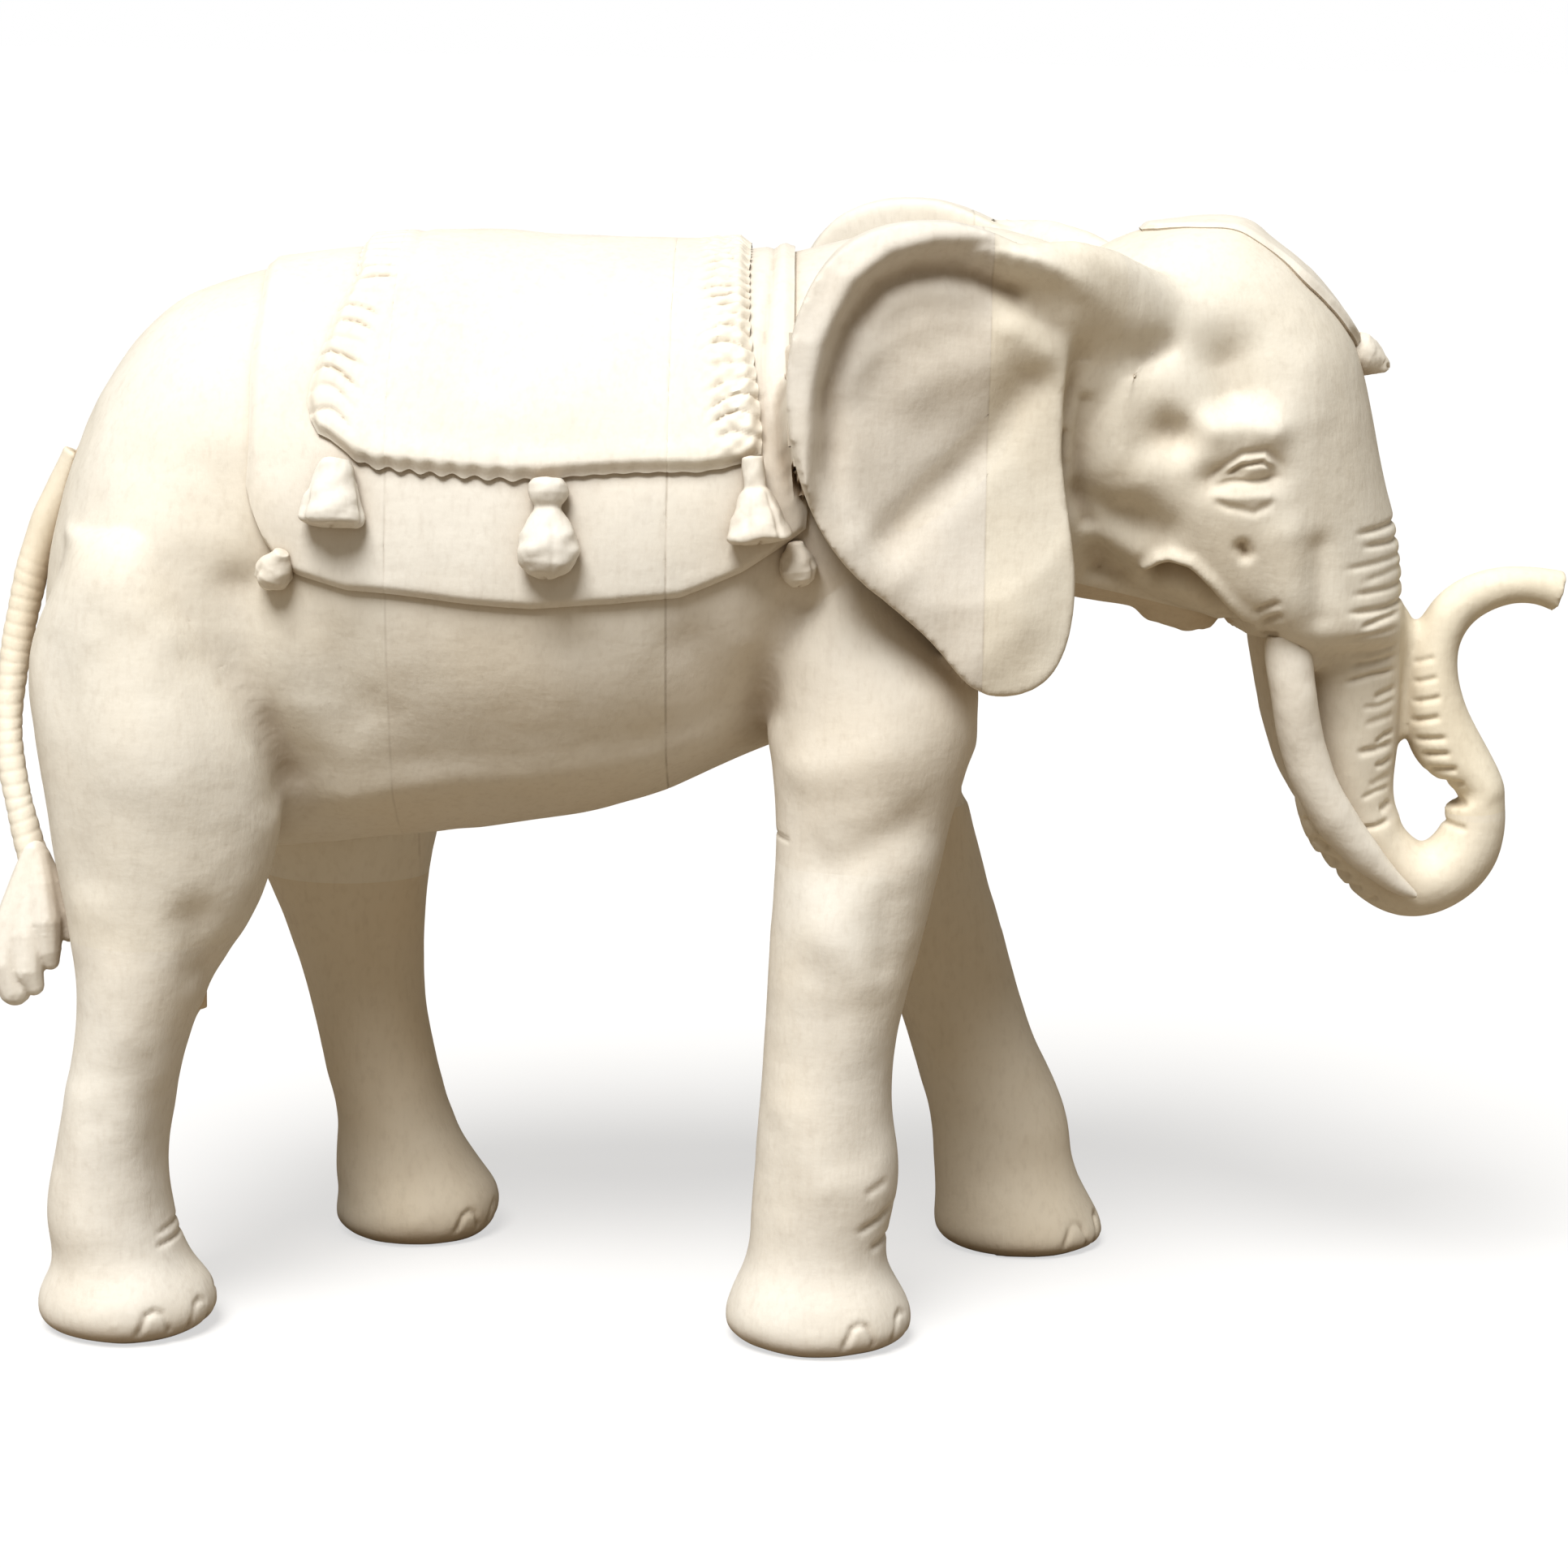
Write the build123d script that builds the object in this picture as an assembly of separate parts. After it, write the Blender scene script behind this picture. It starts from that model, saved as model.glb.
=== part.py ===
# A walking elephant carved from glued-up blocks of pale wood, with a fringed saddle blanket,
# tassels and a head cloth. It faces +X with its trunk curled up, and its right side faces -Y.
# Millimetres, +Z up. The origin is on the surface it stands on, below the middle of its outline.
from build123d import *
import os

os.makedirs("parts", exist_ok=True)

# Overall size.
length = 396.0  # tail to trunk tip
height = 279.0  # sole to the top of the ears
width = 156.0  # across the ears

# Every station below is drawn on a pattern of this size and stretched to the overall size.
pattern_length = 396.0
pattern_height = 279.0
pattern_width = 156.0

# Glue lines across the length, on the pattern.
rump_seam = -96.0
girth_seam = -29.0
neck_seam = 47.0

# Glue lines that carry the legs, below the underside of the body.
hind_joint_drop = 14.0
fore_joint_drop = 24.0

# Wood left under the soles and cut off level.
sole_allowance = 4.0

# Relief work that stands on the body.
saddlecloth_thickness = 2.4
blanket_thickness = 3.6
head_cloth_thickness = 2.0
ear_thickness = 10.0
ear_hollow_depth = 4.5
ear_hollow_radius = 130.0

# Tassels.
tassel_length = 16.0
tassel_radius = 7.0
small_tassel_length = 12.0
small_tassel_radius = 4.2

# Pegs hidden in the glue joints.
leg_dowel_diameter = 8.0
leg_dowel_length = 36.0
leg_dowel_spacing = 17.0
small_dowel_diameter = 4.0
small_dowel_length = 16.0
peg_clearance = 0.1
peg_end_gap = 0.5

# Body, rump to throat: place along the length, underside, back, half width.
rump_end = (-187, 168)
body_stations = [
    (-185, 146, 190, 20),
    (-181, 133, 208, 32),
    (-172, 121, 231, 42),
    (-155, 114, 252, 50),
    (-132, 115, 261, 55),
    (-95, 119, 266, 59),
    (-60, 124, 266, 61),
    (-30, 132, 265, 60),
    (0, 146, 268, 56),
    (28, 158, 275, 50),
    (50, 170, 275, 43),
    (70, 183, 270, 38),
    (84, 192, 264, 34),
]

# Head, crown to upper lip: height, back of the head, brow, half width.
crown_top = (101, 278)
head_stations = [
    (275, 86, 117, 19),
    (268, 72, 125, 29),
    (256, 62, 136, 36),
    (241, 58, 143, 40),
    (225, 56, 147, 41),
    (209, 58, 151, 39),
    (197, 66, 154, 36),
    (187, 84, 155, 33),
    (180, 104, 156, 30),
    (175, 113, 157, 28),
]

# Lower jaw, throat to chin: place along the length, underside, top, half width.
jaw_stations = [
    (64, 187, 203, 20),
    (80, 182, 200, 19),
    (95, 178, 196, 15),
    (104, 175.5, 191, 11),
    (108, 178, 186, 6),
]

# Legs, sole to hip or shoulder: height, back edge, front edge, distance from the middle, half width.
hind_leg_right_stations = [
    (0, -180, -146, 42, 17),
    (3, -184, -141, 42, 21),
    (9, -184, -140.5, 42, 21.5),
    (17, -181, -146, 42, 18.5),
    (27, -182, -150, 42, 17),
    (42, -180.5, -152, 42, 16),
    (60, -177, -149.5, 42, 16),
    (84, -174, -143, 42, 17),
    (101, -176, -133, 41, 19),
    (125, -180, -124, 40, 22),
    (150, -184, -123, 38, 24),
    (175, -184, -130, 34, 24),
    (200, -178, -140, 28, 20),
]
hind_leg_left_stations = [
    (0, -115, -80, 42, 17),
    (3, -119, -77, 42, 20),
    (10, -119, -75.5, 42, 20.5),
    (17, -119.5, -79, 42, 18),
    (30, -119, -87, 42, 16),
    (45, -122, -91.5, 42, 16),
    (63, -126, -95, 42, 16),
    (86, -133, -95.5, 42, 17),
    (100, -139, -94, 41, 19),
    (125, -152, -90, 40, 22),
    (150, -160, -94, 38, 23),
    (175, -165, -104, 34, 23),
    (200, -165, -118, 28, 20),
]
fore_leg_right_stations = [
    (0, -7, 29, 42, 18),
    (3, -12, 34, 42, 21.5),
    (9, -12, 34, 42, 21.5),
    (21, -7, 28, 42, 17.5),
    (30, -6, 28.5, 42, 17),
    (41, -5.5, 30.5, 42, 17.5),
    (60, -4.5, 28.5, 42, 17),
    (80, -3.5, 29.5, 42, 17),
    (96, -3, 33, 42, 17.5),
    (118, -2, 38, 41, 19),
    (145, -3, 45, 38, 22),
    (170, -6, 47, 36, 22),
    (200, -2, 46, 28, 20),
]
fore_leg_left_stations = [
    (0, 48, 84, 42, 17),
    (3, 43.5, 88.5, 42, 20.5),
    (9, 43, 87, 42, 20.5),
    (22, 42.5, 80.5, 42, 17),
    (33, 41.5, 78.5, 42, 16.5),
    (46, 38, 74, 42, 16.5),
    (62, 33, 66.5, 42, 16.5),
    (80, 26, 61, 42, 17),
    (100, 18, 55, 42, 17.5),
    (118, 12, 50, 41, 19),
    (145, 2, 48, 38, 22),
    (170, -4, 48, 36, 22),
    (200, -2, 46, 28, 20),
]

# Trunk, lip to tip: place along the length, height, half depth, half width.
trunk_stations = [
    (137.5, 175, 19.5, 20),
    (141, 163, 15.5, 16.5),
    (142.5, 148, 13.7, 14.5),
    (143, 135, 12.8, 13),
    (147.5, 122.5, 11.5, 12),
    (154.5, 114.5, 10.3, 11),
    (163.5, 111.3, 9.6, 10.5),
    (171.5, 115, 8.8, 10),
    (176.3, 123, 8.2, 9.5),
    (176.5, 132, 7.9, 9),
    (171.5, 143, 8.0, 8.5),
    (165.5, 154, 8.0, 8.2),
    (163.8, 166, 6.7, 7.3),
    (165.7, 176, 6.0, 6.5),
    (172, 183.5, 5.5, 6),
    (181, 187.3, 4.9, 5.4),
    (189, 187.6, 4.6, 5),
    (195.5, 186, 5.4, 5.5),
]
trunk_bend_start = 4  # station where the bend is glued to the upper length
trunk_tip_start = 9  # station where the rising tip is glued to the bend

# Right tusk, socket to point: place along the length, distance from the middle, height, radius.
tusk_stations = [
    (124.5, 22, 178, 5.7),
    (126, 21.5, 165, 5.8),
    (128.5, 20.5, 153, 5.6),
    (131.5, 19.5, 143, 5.6),
    (136, 18.5, 134, 5.5),
    (142, 17, 126, 5.0),
    (149, 15.5, 118.5, 3.9),
    (156, 14, 112.5, 2.4),
    (161, 13, 109.5, 1.0),
]

# Tail, root to tuft: place along the length, distance to the right, height, radius.
tail_stations = [
    (-178, 0, 214, 5.0),
    (-187, 1, 196, 4.6),
    (-192, 4, 179, 4.1),
    (-194.5, 9, 162, 3.7),
    (-194.8, 15, 148, 3.5),
    (-192.3, 22, 134, 3.5),
    (-188, 28, 121, 3.8),
    (-184.5, 32, 112, 4.4),
]
tuft_stations = [
    (-184.5, 32, 112, 4.4),
    (-182.5, 34, 104, 6.0),
    (-183.5, 35, 95, 7.0),
    (-186, 35.5, 88, 5.6),
    (-187.5, 36, 83.5, 2.6),
]

# Outer edge of an ear, clockwise from where it leaves the head: place along the length, height.
ear_outline = [
    (82, 247),
    (72, 260),
    (58, 271),
    (42, 278),
    (26, 279),
    (11, 273),
    (2, 260),
    (-1, 244),
    (2, 220),
    (14, 198),
    (34, 180),
    (50, 166),
    (62, 169),
    (69, 187),
    (67, 211),
    (65, 228),
    (70, 239),
]
ear_front = (80, 47)  # where the outer face starts: along the length, from the middle
ear_rear = (0, 75)  # where it ends

# Blanket and saddlecloth edges on the body's side.
blanket_back, blanket_front = -112.0, -8.0
blanket_hem = 217.0
blanket_corner = 8.0
saddlecloth_back, saddlecloth_front = -128.0, 1.0
saddlecloth_hem_back, saddlecloth_hem_middle, saddlecloth_hem_front = 194.0, 186.5, 202.0

# Where the tassels hang: place along the length, height of the top.
blanket_tassels = {"rear": (-107, 219), "middle": (-56, 217), "front": (-8, 220)}
saddlecloth_tassels = {"rear": (-122, 197), "front": (3, 203)}

# Head cloth seen from above: back edge, point on the brow, half width at the back.
head_cloth_back, head_cloth_point, head_cloth_half = 84.0, 141.0, 17.0
head_cloth_lowest = 244.0


def along(x):
    return x * length / pattern_length


def across(y):
    return y * width / pattern_width


def up(z):
    return z * height / pattern_height


def girth(radius):
    return radius * (length / pattern_length + height / pattern_height) / 2


def solid(shape):
    # The largest solid of a shape, so that slivers of a cut are dropped.
    return max(shape.solids(), key=lambda s: s.volume)


def upright_loft(stations, skin=0.0, end=None):
    # Upright ellipses across the length, grown all round by a skin.
    sections = []
    if end:
        sections.append(Vertex(along(end[0]) - skin, 0, up(end[1])))
    for x, low, high, half in stations:
        plane = Plane(origin=(along(x), 0, up(low + high) / 2), x_dir=(0, 1, 0), z_dir=(1, 0, 0))
        sections.append((plane * Ellipse(across(half) + skin, up(high - low) / 2 + skin)).face())
    return loft(sections)


def body(skin=0.0):
    return upright_loft(body_stations, skin, rump_end)


def head(skin=0.0):
    # Level ellipses from the crown down to the upper lip.
    sections = [Vertex(along(crown_top[0]), 0, up(crown_top[1]) + skin)]
    for z, back, front, half in head_stations:
        plane = Plane(origin=(along(back + front) / 2, 0, up(z)))
        sections.append((plane * Ellipse(along(front - back) / 2 + skin, across(half) + skin)).face())
    return loft(sections)


def leg(stations, side):
    # Level ellipses from under the sole up into the body. side is -1 on the right, 1 on the left.
    _, *sole = stations[0]
    sections = []
    for z, back, front, off, half in [(-sole_allowance, *sole)] + stations:
        plane = Plane(origin=(along(back + front) / 2, side * across(off), up(z)))
        sections.append((plane * Ellipse(along(front - back) / 2, across(half))).face())
    return loft(sections)


def limb(centres, radii, widths):
    # Ellipses square to a curved middle line.
    points = [Vector(*c) for c in centres]
    sections = []
    for i, point in enumerate(points):
        ahead = points[min(i + 1, len(points) - 1)] - points[max(i - 1, 0)]
        plane = Plane(origin=point, x_dir=(0, 1, 0), z_dir=ahead.normalized())
        sections.append((plane * Ellipse(widths[i], radii[i])).face())
    return sections


def trunk_sections():
    centres = [(along(x), 0, up(z)) for x, z, _, _ in trunk_stations]
    radii = [girth(depth) for _, _, depth, _ in trunk_stations]
    widths = [across(half) for _, _, _, half in trunk_stations]
    sections = limb(centres, radii, widths)
    # The first section lies flat on the glue line under the lip.
    sections[0] = (Plane(origin=centres[0]) * Ellipse(radii[0], widths[0])).face()
    return sections


def tapered_limb(stations, side):
    centres = [(along(x), side * across(y), up(z)) for x, y, z, _ in stations]
    radii = [girth(r) for _, _, _, r in stations]
    return loft(limb(centres, radii, radii))


def between(shape, back=None, front=None):
    # What lies between two upright planes across the length.
    far = 2 * length
    low = -far if back is None else along(back)
    high = far if front is None else along(front)
    box = Pos((low + high) / 2, 0, height / 2) * Box(high - low, 4 * width, 4 * height)
    return solid(shape & box)


def below(shape, level):
    far = 4 * length
    return solid(shape & Pos(0, 0, level - far / 2) * Box(far, far, far))


def above(shape, level):
    far = 4 * length
    return solid(shape & Pos(0, 0, level + far / 2) * Box(far, far, far))


def side_of_body(x, z, skin):
    # How far the body's side is from the middle at a place and height.
    low_row = max((s for s in body_stations if s[0] <= x), key=lambda s: s[0])
    high_row = min((s for s in body_stations if s[0] > x), key=lambda s: s[0])
    share = (x - low_row[0]) / (high_row[0] - low_row[0])
    _, low, high, half = (a + share * (b - a) for a, b in zip(low_row, high_row))
    middle, rise = up(low + high) / 2, up(high - low) / 2 + skin
    return (across(half) + skin) * (1 - ((up(z) - middle) / rise) ** 2) ** 0.5


def ear_plate(side):
    points = [(along(x), 0, up(z)) for x, z in ear_outline]
    outline = extrude(make_face(Spline(points, periodic=True)), amount=width, dir=(0, side, 0))
    front = Vector(along(ear_front[0]), side * across(ear_front[1]))
    rear = Vector(along(ear_rear[0]), side * across(ear_rear[1]))
    run = (rear - front).normalized()
    outward = Vector(-run.Y, run.X) if side * run.X > 0 else Vector(run.Y, -run.X)
    middle = (front + rear) / 2 + Vector(0, 0, up(222))
    slab_plane = Plane(origin=middle - outward * (ear_thickness / 2), x_dir=run, z_dir=outward)
    slab = slab_plane * Box(2 * length, 2 * height, ear_thickness)
    hollow = Pos(middle + outward * (ear_hollow_radius - ear_hollow_depth)) * Sphere(ear_hollow_radius)
    return outline & slab - hollow


def blanket_shape():
    # The blanket's outline on both sides, as a block across the body.
    back, front, hem = along(blanket_back), along(blanket_front), up(blanket_hem)
    block = Box(front - back, 2 * width, height)
    block = fillet(block.edges().filter_by(Axis.Y).group_by(Axis.Z)[0], blanket_corner)
    return Pos((back + front) / 2, 0, hem + height / 2) * block


def saddlecloth_shape():
    back, front, top = along(saddlecloth_back), along(saddlecloth_front), 1.5 * height
    start = (back, 0, up(saddlecloth_hem_back + 14))
    low = (back + along(9), 0, up(saddlecloth_hem_back))
    bottom = ((back + front) / 2, 0, up(saddlecloth_hem_middle))
    end = (front, 0, up(saddlecloth_hem_front))
    edges = [
        Line((back, 0, top), start),
        Line(start, low),
        ThreePointArc(low, bottom, end),
        Line(end, (front, 0, top)),
        Line((front, 0, top), (back, 0, top)),
    ]
    face = make_face(edges)
    return extrude(face, amount=width, dir=(0, -1, 0)) + extrude(face, amount=width, dir=(0, 1, 0))


def tassel(tall, radius):
    # A tied knot over a bell of threads, hanging from its top, turned about its own axis.
    profile = [
        (0, 0),
        (0.30 * radius, 0),
        (0.55 * radius, -0.10 * tall),
        (0.42 * radius, -0.24 * tall),
        (0.85 * radius, -0.55 * tall),
        (radius, -0.82 * tall),
        (0.62 * radius, -0.97 * tall),
        (0, -tall),
    ]
    points = [(x, 0, z) for x, z in profile]
    edges = [Line(points[0], points[1]), Spline(points[1:]), Line(points[-1], points[0])]
    return revolve(make_face(edges), Axis.Z)


def hung_tassel(x, z, side, skin, tall, radius):
    # It stands two thirds out of the cloth behind it.
    off = side_of_body(x, z, skin) + radius / 3
    return Pos(along(x), side * off, up(z)) * tassel(tall, radius)


def peg(point, direction, diameter, long, growth=0.0, end_gap=0.0):
    plane = Plane(origin=point, z_dir=direction)
    return plane * Cylinder(diameter / 2 + growth, long + 2 * end_gap)


def leg_pegs(stations, side, level, growth=0.0, end_gap=0.0):
    # Two upright pegs across a leg's glue line, one behind the other.
    row = min(stations, key=lambda s: abs(up(s[0]) - level))
    x, y = along(row[1] + row[2]) / 2, side * across(row[3])
    pegs = []
    for k in (-1, 1):
        point = (x + k * leg_dowel_spacing / 2, y, level)
        pegs.append(peg(point, (0, 0, 1), leg_dowel_diameter, leg_dowel_length, growth, end_gap))
    return pegs


def small_peg(point, direction, growth=0.0, end_gap=0.0):
    return peg(point, direction, small_dowel_diameter, small_dowel_length, growth, end_gap)


def holes(pegs):
    # Room for pegs, given as calls that take a growth and an end gap.
    return [p for make in pegs for p in make(peg_clearance, peg_end_gap)]


def build():
    parts = {}
    hind_level = up(min(s[1] for s in body_stations)) - hind_joint_drop
    fore_level = up(next(s[1] for s in body_stations if s[0] == 0)) - fore_joint_drop
    torso = body()
    skull = head()

    # Legs are split at their glue lines, and what is above stays with the body.
    legs = {
        "hind_leg_right": (hind_leg_right_stations, -1, hind_level),
        "hind_leg_left": (hind_leg_left_stations, 1, hind_level),
        "fore_leg_right": (fore_leg_right_stations, -1, fore_level),
        "fore_leg_left": (fore_leg_left_stations, 1, fore_level),
    }
    carcass = torso + skull
    pegs = []
    leg_peg_makers = []
    for name, (stations, side, level) in legs.items():
        whole = above(leg(stations, side), 0)
        carcass = carcass + above(whole, level)
        parts[name] = below(whole, level) - torso
        maker = lambda g=0.0, e=0.0, s=stations, d=side, v=level: leg_pegs(s, d, v, g, e)
        leg_peg_makers.append(maker)
        for hole in maker(peg_clearance, peg_end_gap):
            parts[name] = parts[name] - hole
        pegs += maker()
    parts["leg_dowels"] = Compound(pegs)

    # Trunk in three lengths, with the rising tip resting against the upper length.
    sections = trunk_sections()
    upper = loft(sections[: trunk_bend_start + 1])
    bend = loft(sections[trunk_bend_start : trunk_tip_start + 1])
    tip = loft(sections[trunk_tip_start:]) - upper
    glue_planes = [sections[0], sections[trunk_bend_start], sections[trunk_tip_start]]
    trunk_pegs = [(f.center(), f.normal_at()) for f in glue_planes]

    # Tusks and tail, each on one peg.
    tusks = {side: tapered_limb(tusk_stations, side) for side in (-1, 1)}
    tusk_pegs = []
    for side in tusks:
        x, y, z, _ = tusk_stations[0]
        tusk_pegs.append(((along(x), side * across(y), up(z)), (0.1, 0, -1)))
    tail_root = tapered_limb(tail_stations, -1)
    tuft = tapered_limb(tuft_stations, -1)
    x, y, z, _ = tail_stations[0]
    tail_peg = [((along(x), -across(y), up(z)), (-0.45, 0, -0.9))]

    small_pegs = trunk_pegs + tusk_pegs + tail_peg
    small_holes = [small_peg(p, d, peg_clearance, peg_end_gap) for p, d in small_pegs]
    leg_holes = holes(leg_peg_makers)

    def bored(shape, cutters):
        for cutter in cutters:
            shape = shape - cutter
        return solid(shape)

    # The body, neck and head as blocks between the glue lines.
    seams = {
        "rump_block": (None, rump_seam),
        "loin_block": (rump_seam, girth_seam),
        "shoulder_block": (girth_seam, neck_seam),
        "head_block": (neck_seam, None),
    }
    for name, (back, front) in seams.items():
        parts[name] = bored(between(carcass, back, front), leg_holes + small_holes)

    jaw = upright_loft(jaw_stations)
    parts["lower_jaw"] = solid(jaw - carcass)
    parts["trunk_upper"] = bored(upper - carcass, small_holes)
    parts["trunk_bend"] = bored(bend - upper, small_holes)
    parts["trunk_tip"] = bored(tip - bend, small_holes)
    for side, name in ((-1, "right"), (1, "left")):
        tusk = tusks[side] - carcass - upper - bend
        parts[f"tusk_{name}"] = bored(tusk, small_holes)
        ear = ear_plate(side) - carcass
        parts[f"ear_{name}_rear"] = between(ear, None, neck_seam)
        parts[f"ear_{name}_front"] = between(ear, neck_seam, None)
    parts["tail"] = bored(tail_root - carcass, small_holes)
    parts["tail_tuft"] = solid(tuft - tail_root - parts["hind_leg_right"] - carcass)
    parts["peg_dowels"] = Compound([small_peg(p, d) for p, d in small_pegs])

    # Cloths are shells over the body, split at the glue lines under them.
    cloth = saddlecloth_thickness
    over = cloth + blanket_thickness
    ears = [parts[f"ear_{s}_rear"] for s in ("right", "left")]
    saddlecloth = (body(cloth) - carcass) & saddlecloth_shape()
    for ear in ears:
        saddlecloth = saddlecloth - ear
    blanket = (body(over) - body(cloth)) & blanket_shape()
    strips = {"rear": (None, rump_seam), "middle": (rump_seam, girth_seam), "front": (girth_seam, None)}
    for name, (back, front) in strips.items():
        parts[f"saddlecloth_{name}"] = between(saddlecloth, back, front)
        parts[f"blanket_{name}"] = between(blanket, back, front)

    backing = body(cloth) + carcass
    for side, hand in ((-1, "right"), (1, "left")):
        for name, (x, z) in blanket_tassels.items():
            drop = hung_tassel(x, z, side, cloth, tassel_length, tassel_radius)
            drop = drop - backing - blanket
            parts[f"blanket_tassel_{hand}_{name}"] = solid(drop)
        for name, (x, z) in saddlecloth_tassels.items():
            drop = hung_tassel(x, z, side, cloth, small_tassel_length, small_tassel_radius)
            drop = drop - backing - parts[f"ear_{hand}_rear"]
            parts[f"saddlecloth_tassel_{hand}_{name}"] = solid(drop)

    # Head cloth: a point that runs down over the brow, with a tassel at its tip.
    back, point, half = along(head_cloth_back), along(head_cloth_point), across(head_cloth_half)
    plan = make_face(Polyline((back, -half), (point, 0), (back, half), (back, -half)))
    wedge = Pos(0, 0, up(head_cloth_lowest)) * extrude(plan, amount=height)
    cloth_cap = (head(head_cloth_thickness) - skull) & wedge
    parts["head_cloth"] = solid(cloth_cap - torso)
    brow_plane = Plane(origin=(point - 1, 0, up(249)), x_dir=(0, 1, 0), z_dir=(-0.75, 0, 0.66))
    brow_tassel = brow_plane * tassel(small_tassel_length, small_tassel_radius)
    parts["brow_tassel"] = solid(brow_tassel - skull - parts["head_cloth"])
    return parts


def centred(parts):
    # Moves everything sideways so that the origin is under the middle of the outline.
    box = Compound([s for p in parts.values() for s in p.solids()]).bounding_box()
    shift = Pos(-box.center().X, -box.center().Y)
    return {name: shift * shape for name, shape in parts.items()}


for name, shape in centred(build()).items():
    pieces = shape.solids()
    node = pieces[0] if len(pieces) == 1 else Compound(pieces)
    export_step(node, f"parts/{name}.step")
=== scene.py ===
import math
import bpy
import numpy as np
from mathutils import Matrix, Vector
from mathutils.bvhtree import BVHTree


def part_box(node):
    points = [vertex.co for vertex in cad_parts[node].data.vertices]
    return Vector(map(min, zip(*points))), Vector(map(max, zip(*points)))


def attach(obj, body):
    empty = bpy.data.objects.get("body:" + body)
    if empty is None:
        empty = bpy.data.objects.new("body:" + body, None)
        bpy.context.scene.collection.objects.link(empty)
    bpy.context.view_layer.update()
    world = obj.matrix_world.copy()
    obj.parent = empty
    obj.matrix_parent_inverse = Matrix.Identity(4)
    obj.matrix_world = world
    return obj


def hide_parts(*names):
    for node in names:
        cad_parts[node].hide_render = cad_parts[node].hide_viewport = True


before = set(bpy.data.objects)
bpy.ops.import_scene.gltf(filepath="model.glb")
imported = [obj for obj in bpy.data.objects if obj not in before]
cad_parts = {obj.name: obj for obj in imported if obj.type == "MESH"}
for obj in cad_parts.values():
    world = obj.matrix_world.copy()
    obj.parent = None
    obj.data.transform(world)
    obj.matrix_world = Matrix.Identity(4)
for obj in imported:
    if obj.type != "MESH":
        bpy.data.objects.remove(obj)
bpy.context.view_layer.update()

mm = 0.001
# All places below are millimetres in the shared frame. The right side is drawn and the left side mirrors it.


# bench tools
def onlyThis(obj):
    if bpy.context.object and bpy.context.object.mode != "OBJECT":
        bpy.ops.object.mode_set(mode="OBJECT")
    bpy.ops.object.select_all(action="DESELECT")
    obj.select_set(True)
    bpy.context.view_layer.objects.active = obj


def applied(obj, kind, **settings):
    onlyThis(obj)
    modifier = obj.modifiers.new("step", kind)
    for key, value in settings.items():
        setattr(modifier, key, value)
    bpy.ops.object.modifier_apply(modifier=modifier.name)
    return obj


def copyNodes(name, nodes):  # a merged copy of CAD nodes, to work on
    copies = []
    for node in nodes:
        one = bpy.data.objects.new(name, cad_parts[node].data.copy())
        bpy.context.scene.collection.objects.link(one)
        copies.append(one)
    onlyThis(copies[0])
    for one in copies:
        one.select_set(True)
    if len(copies) > 1:
        bpy.ops.object.join()
    bpy.ops.object.mode_set(mode="EDIT")
    bpy.ops.mesh.select_all(action="SELECT")
    bpy.ops.mesh.remove_doubles(threshold=1e-6)
    bpy.ops.object.mode_set(mode="OBJECT")
    copies[0].name = name
    copies[0].data.materials.clear()
    return copies[0]


def floats(source, key, width):  # one row for each element of a mesh's list
    flat = np.empty(len(source) * width, np.float32)
    source.foreach_get(key, flat)
    return flat.reshape(-1, width).astype(float)


def points(obj):
    return floats(obj.data.vertices, "co", 3) / mm


def movePoints(obj, place):
    obj.data.vertices.foreach_set("co", (place * mm).astype(np.float32).ravel())
    obj.data.update()


def normals(obj):
    return floats(obj.data.vertex_normals, "vector", 3)


def edgeEnds(obj):  # the two points of every edge
    ends = np.empty(len(obj.data.edges) * 2, np.int32)
    obj.data.edges.foreach_get("vertices", ends)
    return ends[0::2], ends[1::2]


def neighbourSum(values, a, b):  # for each point, the values of its neighbours added up
    return np.bincount(a, values[b], len(values)) + np.bincount(b, values[a], len(values))


def floatAttribute(obj, name, values):
    layer = obj.data.attributes.get(name) or obj.data.attributes.new(name, "FLOAT", "POINT")
    layer.data.foreach_set("value", values.astype(np.float32))


def along(path, place):  # distance to a line through the points of path, and how far along it
    path = np.array(path, float)
    if len(path) == 1:
        return np.linalg.norm(place - path[0], axis=1), np.full(len(place), 0.5)
    lengths = np.linalg.norm(path[1:] - path[:-1], axis=1)
    run = np.concatenate([[0], np.cumsum(lengths)])
    best = np.full(len(place), 1e9)
    share = np.zeros(len(place))
    for i, span in enumerate(lengths):
        a, b = path[i], path[i + 1]
        t = np.clip((place - a) @ (b - a) / span**2, 0, 1)
        gap = np.linalg.norm(place - a - t[:, None] * (b - a), axis=1)
        nearer = gap < best
        best[nearer] = gap[nearer]
        share[nearer] = (run[i] + t[nearer] * span) / run[-1]
    return best, share


def eased(low, high, value):
    t = np.clip((value - low) / (high - low), 0, 1)
    return t * t * (3 - 2 * t)


def noise(place, size, seed=0):  # smooth lumps about size across, from -1 to 1
    p = place / size + seed * 17.3
    cell = np.floor(p).astype(int)
    f = p - cell
    f = f * f * (3 - 2 * f)
    total = np.zeros(len(p))
    for dx in (0, 1):
        for dy in (0, 1):
            for dz in (0, 1):
                h = (cell[:, 0] + dx) * 73856093 ^ (cell[:, 1] + dy) * 19349663 ^ (cell[:, 2] + dz) * 83492791
                value = ((h ^ (h >> 13)) * 1274126177 & 0xFFFF) / 32767.5 - 1
                wx = f[:, 0] if dx else 1 - f[:, 0]
                wy = f[:, 1] if dy else 1 - f[:, 1]
                wz = f[:, 2] if dz else 1 - f[:, 2]
                total += value * wx * wy * wz
    return total


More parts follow.
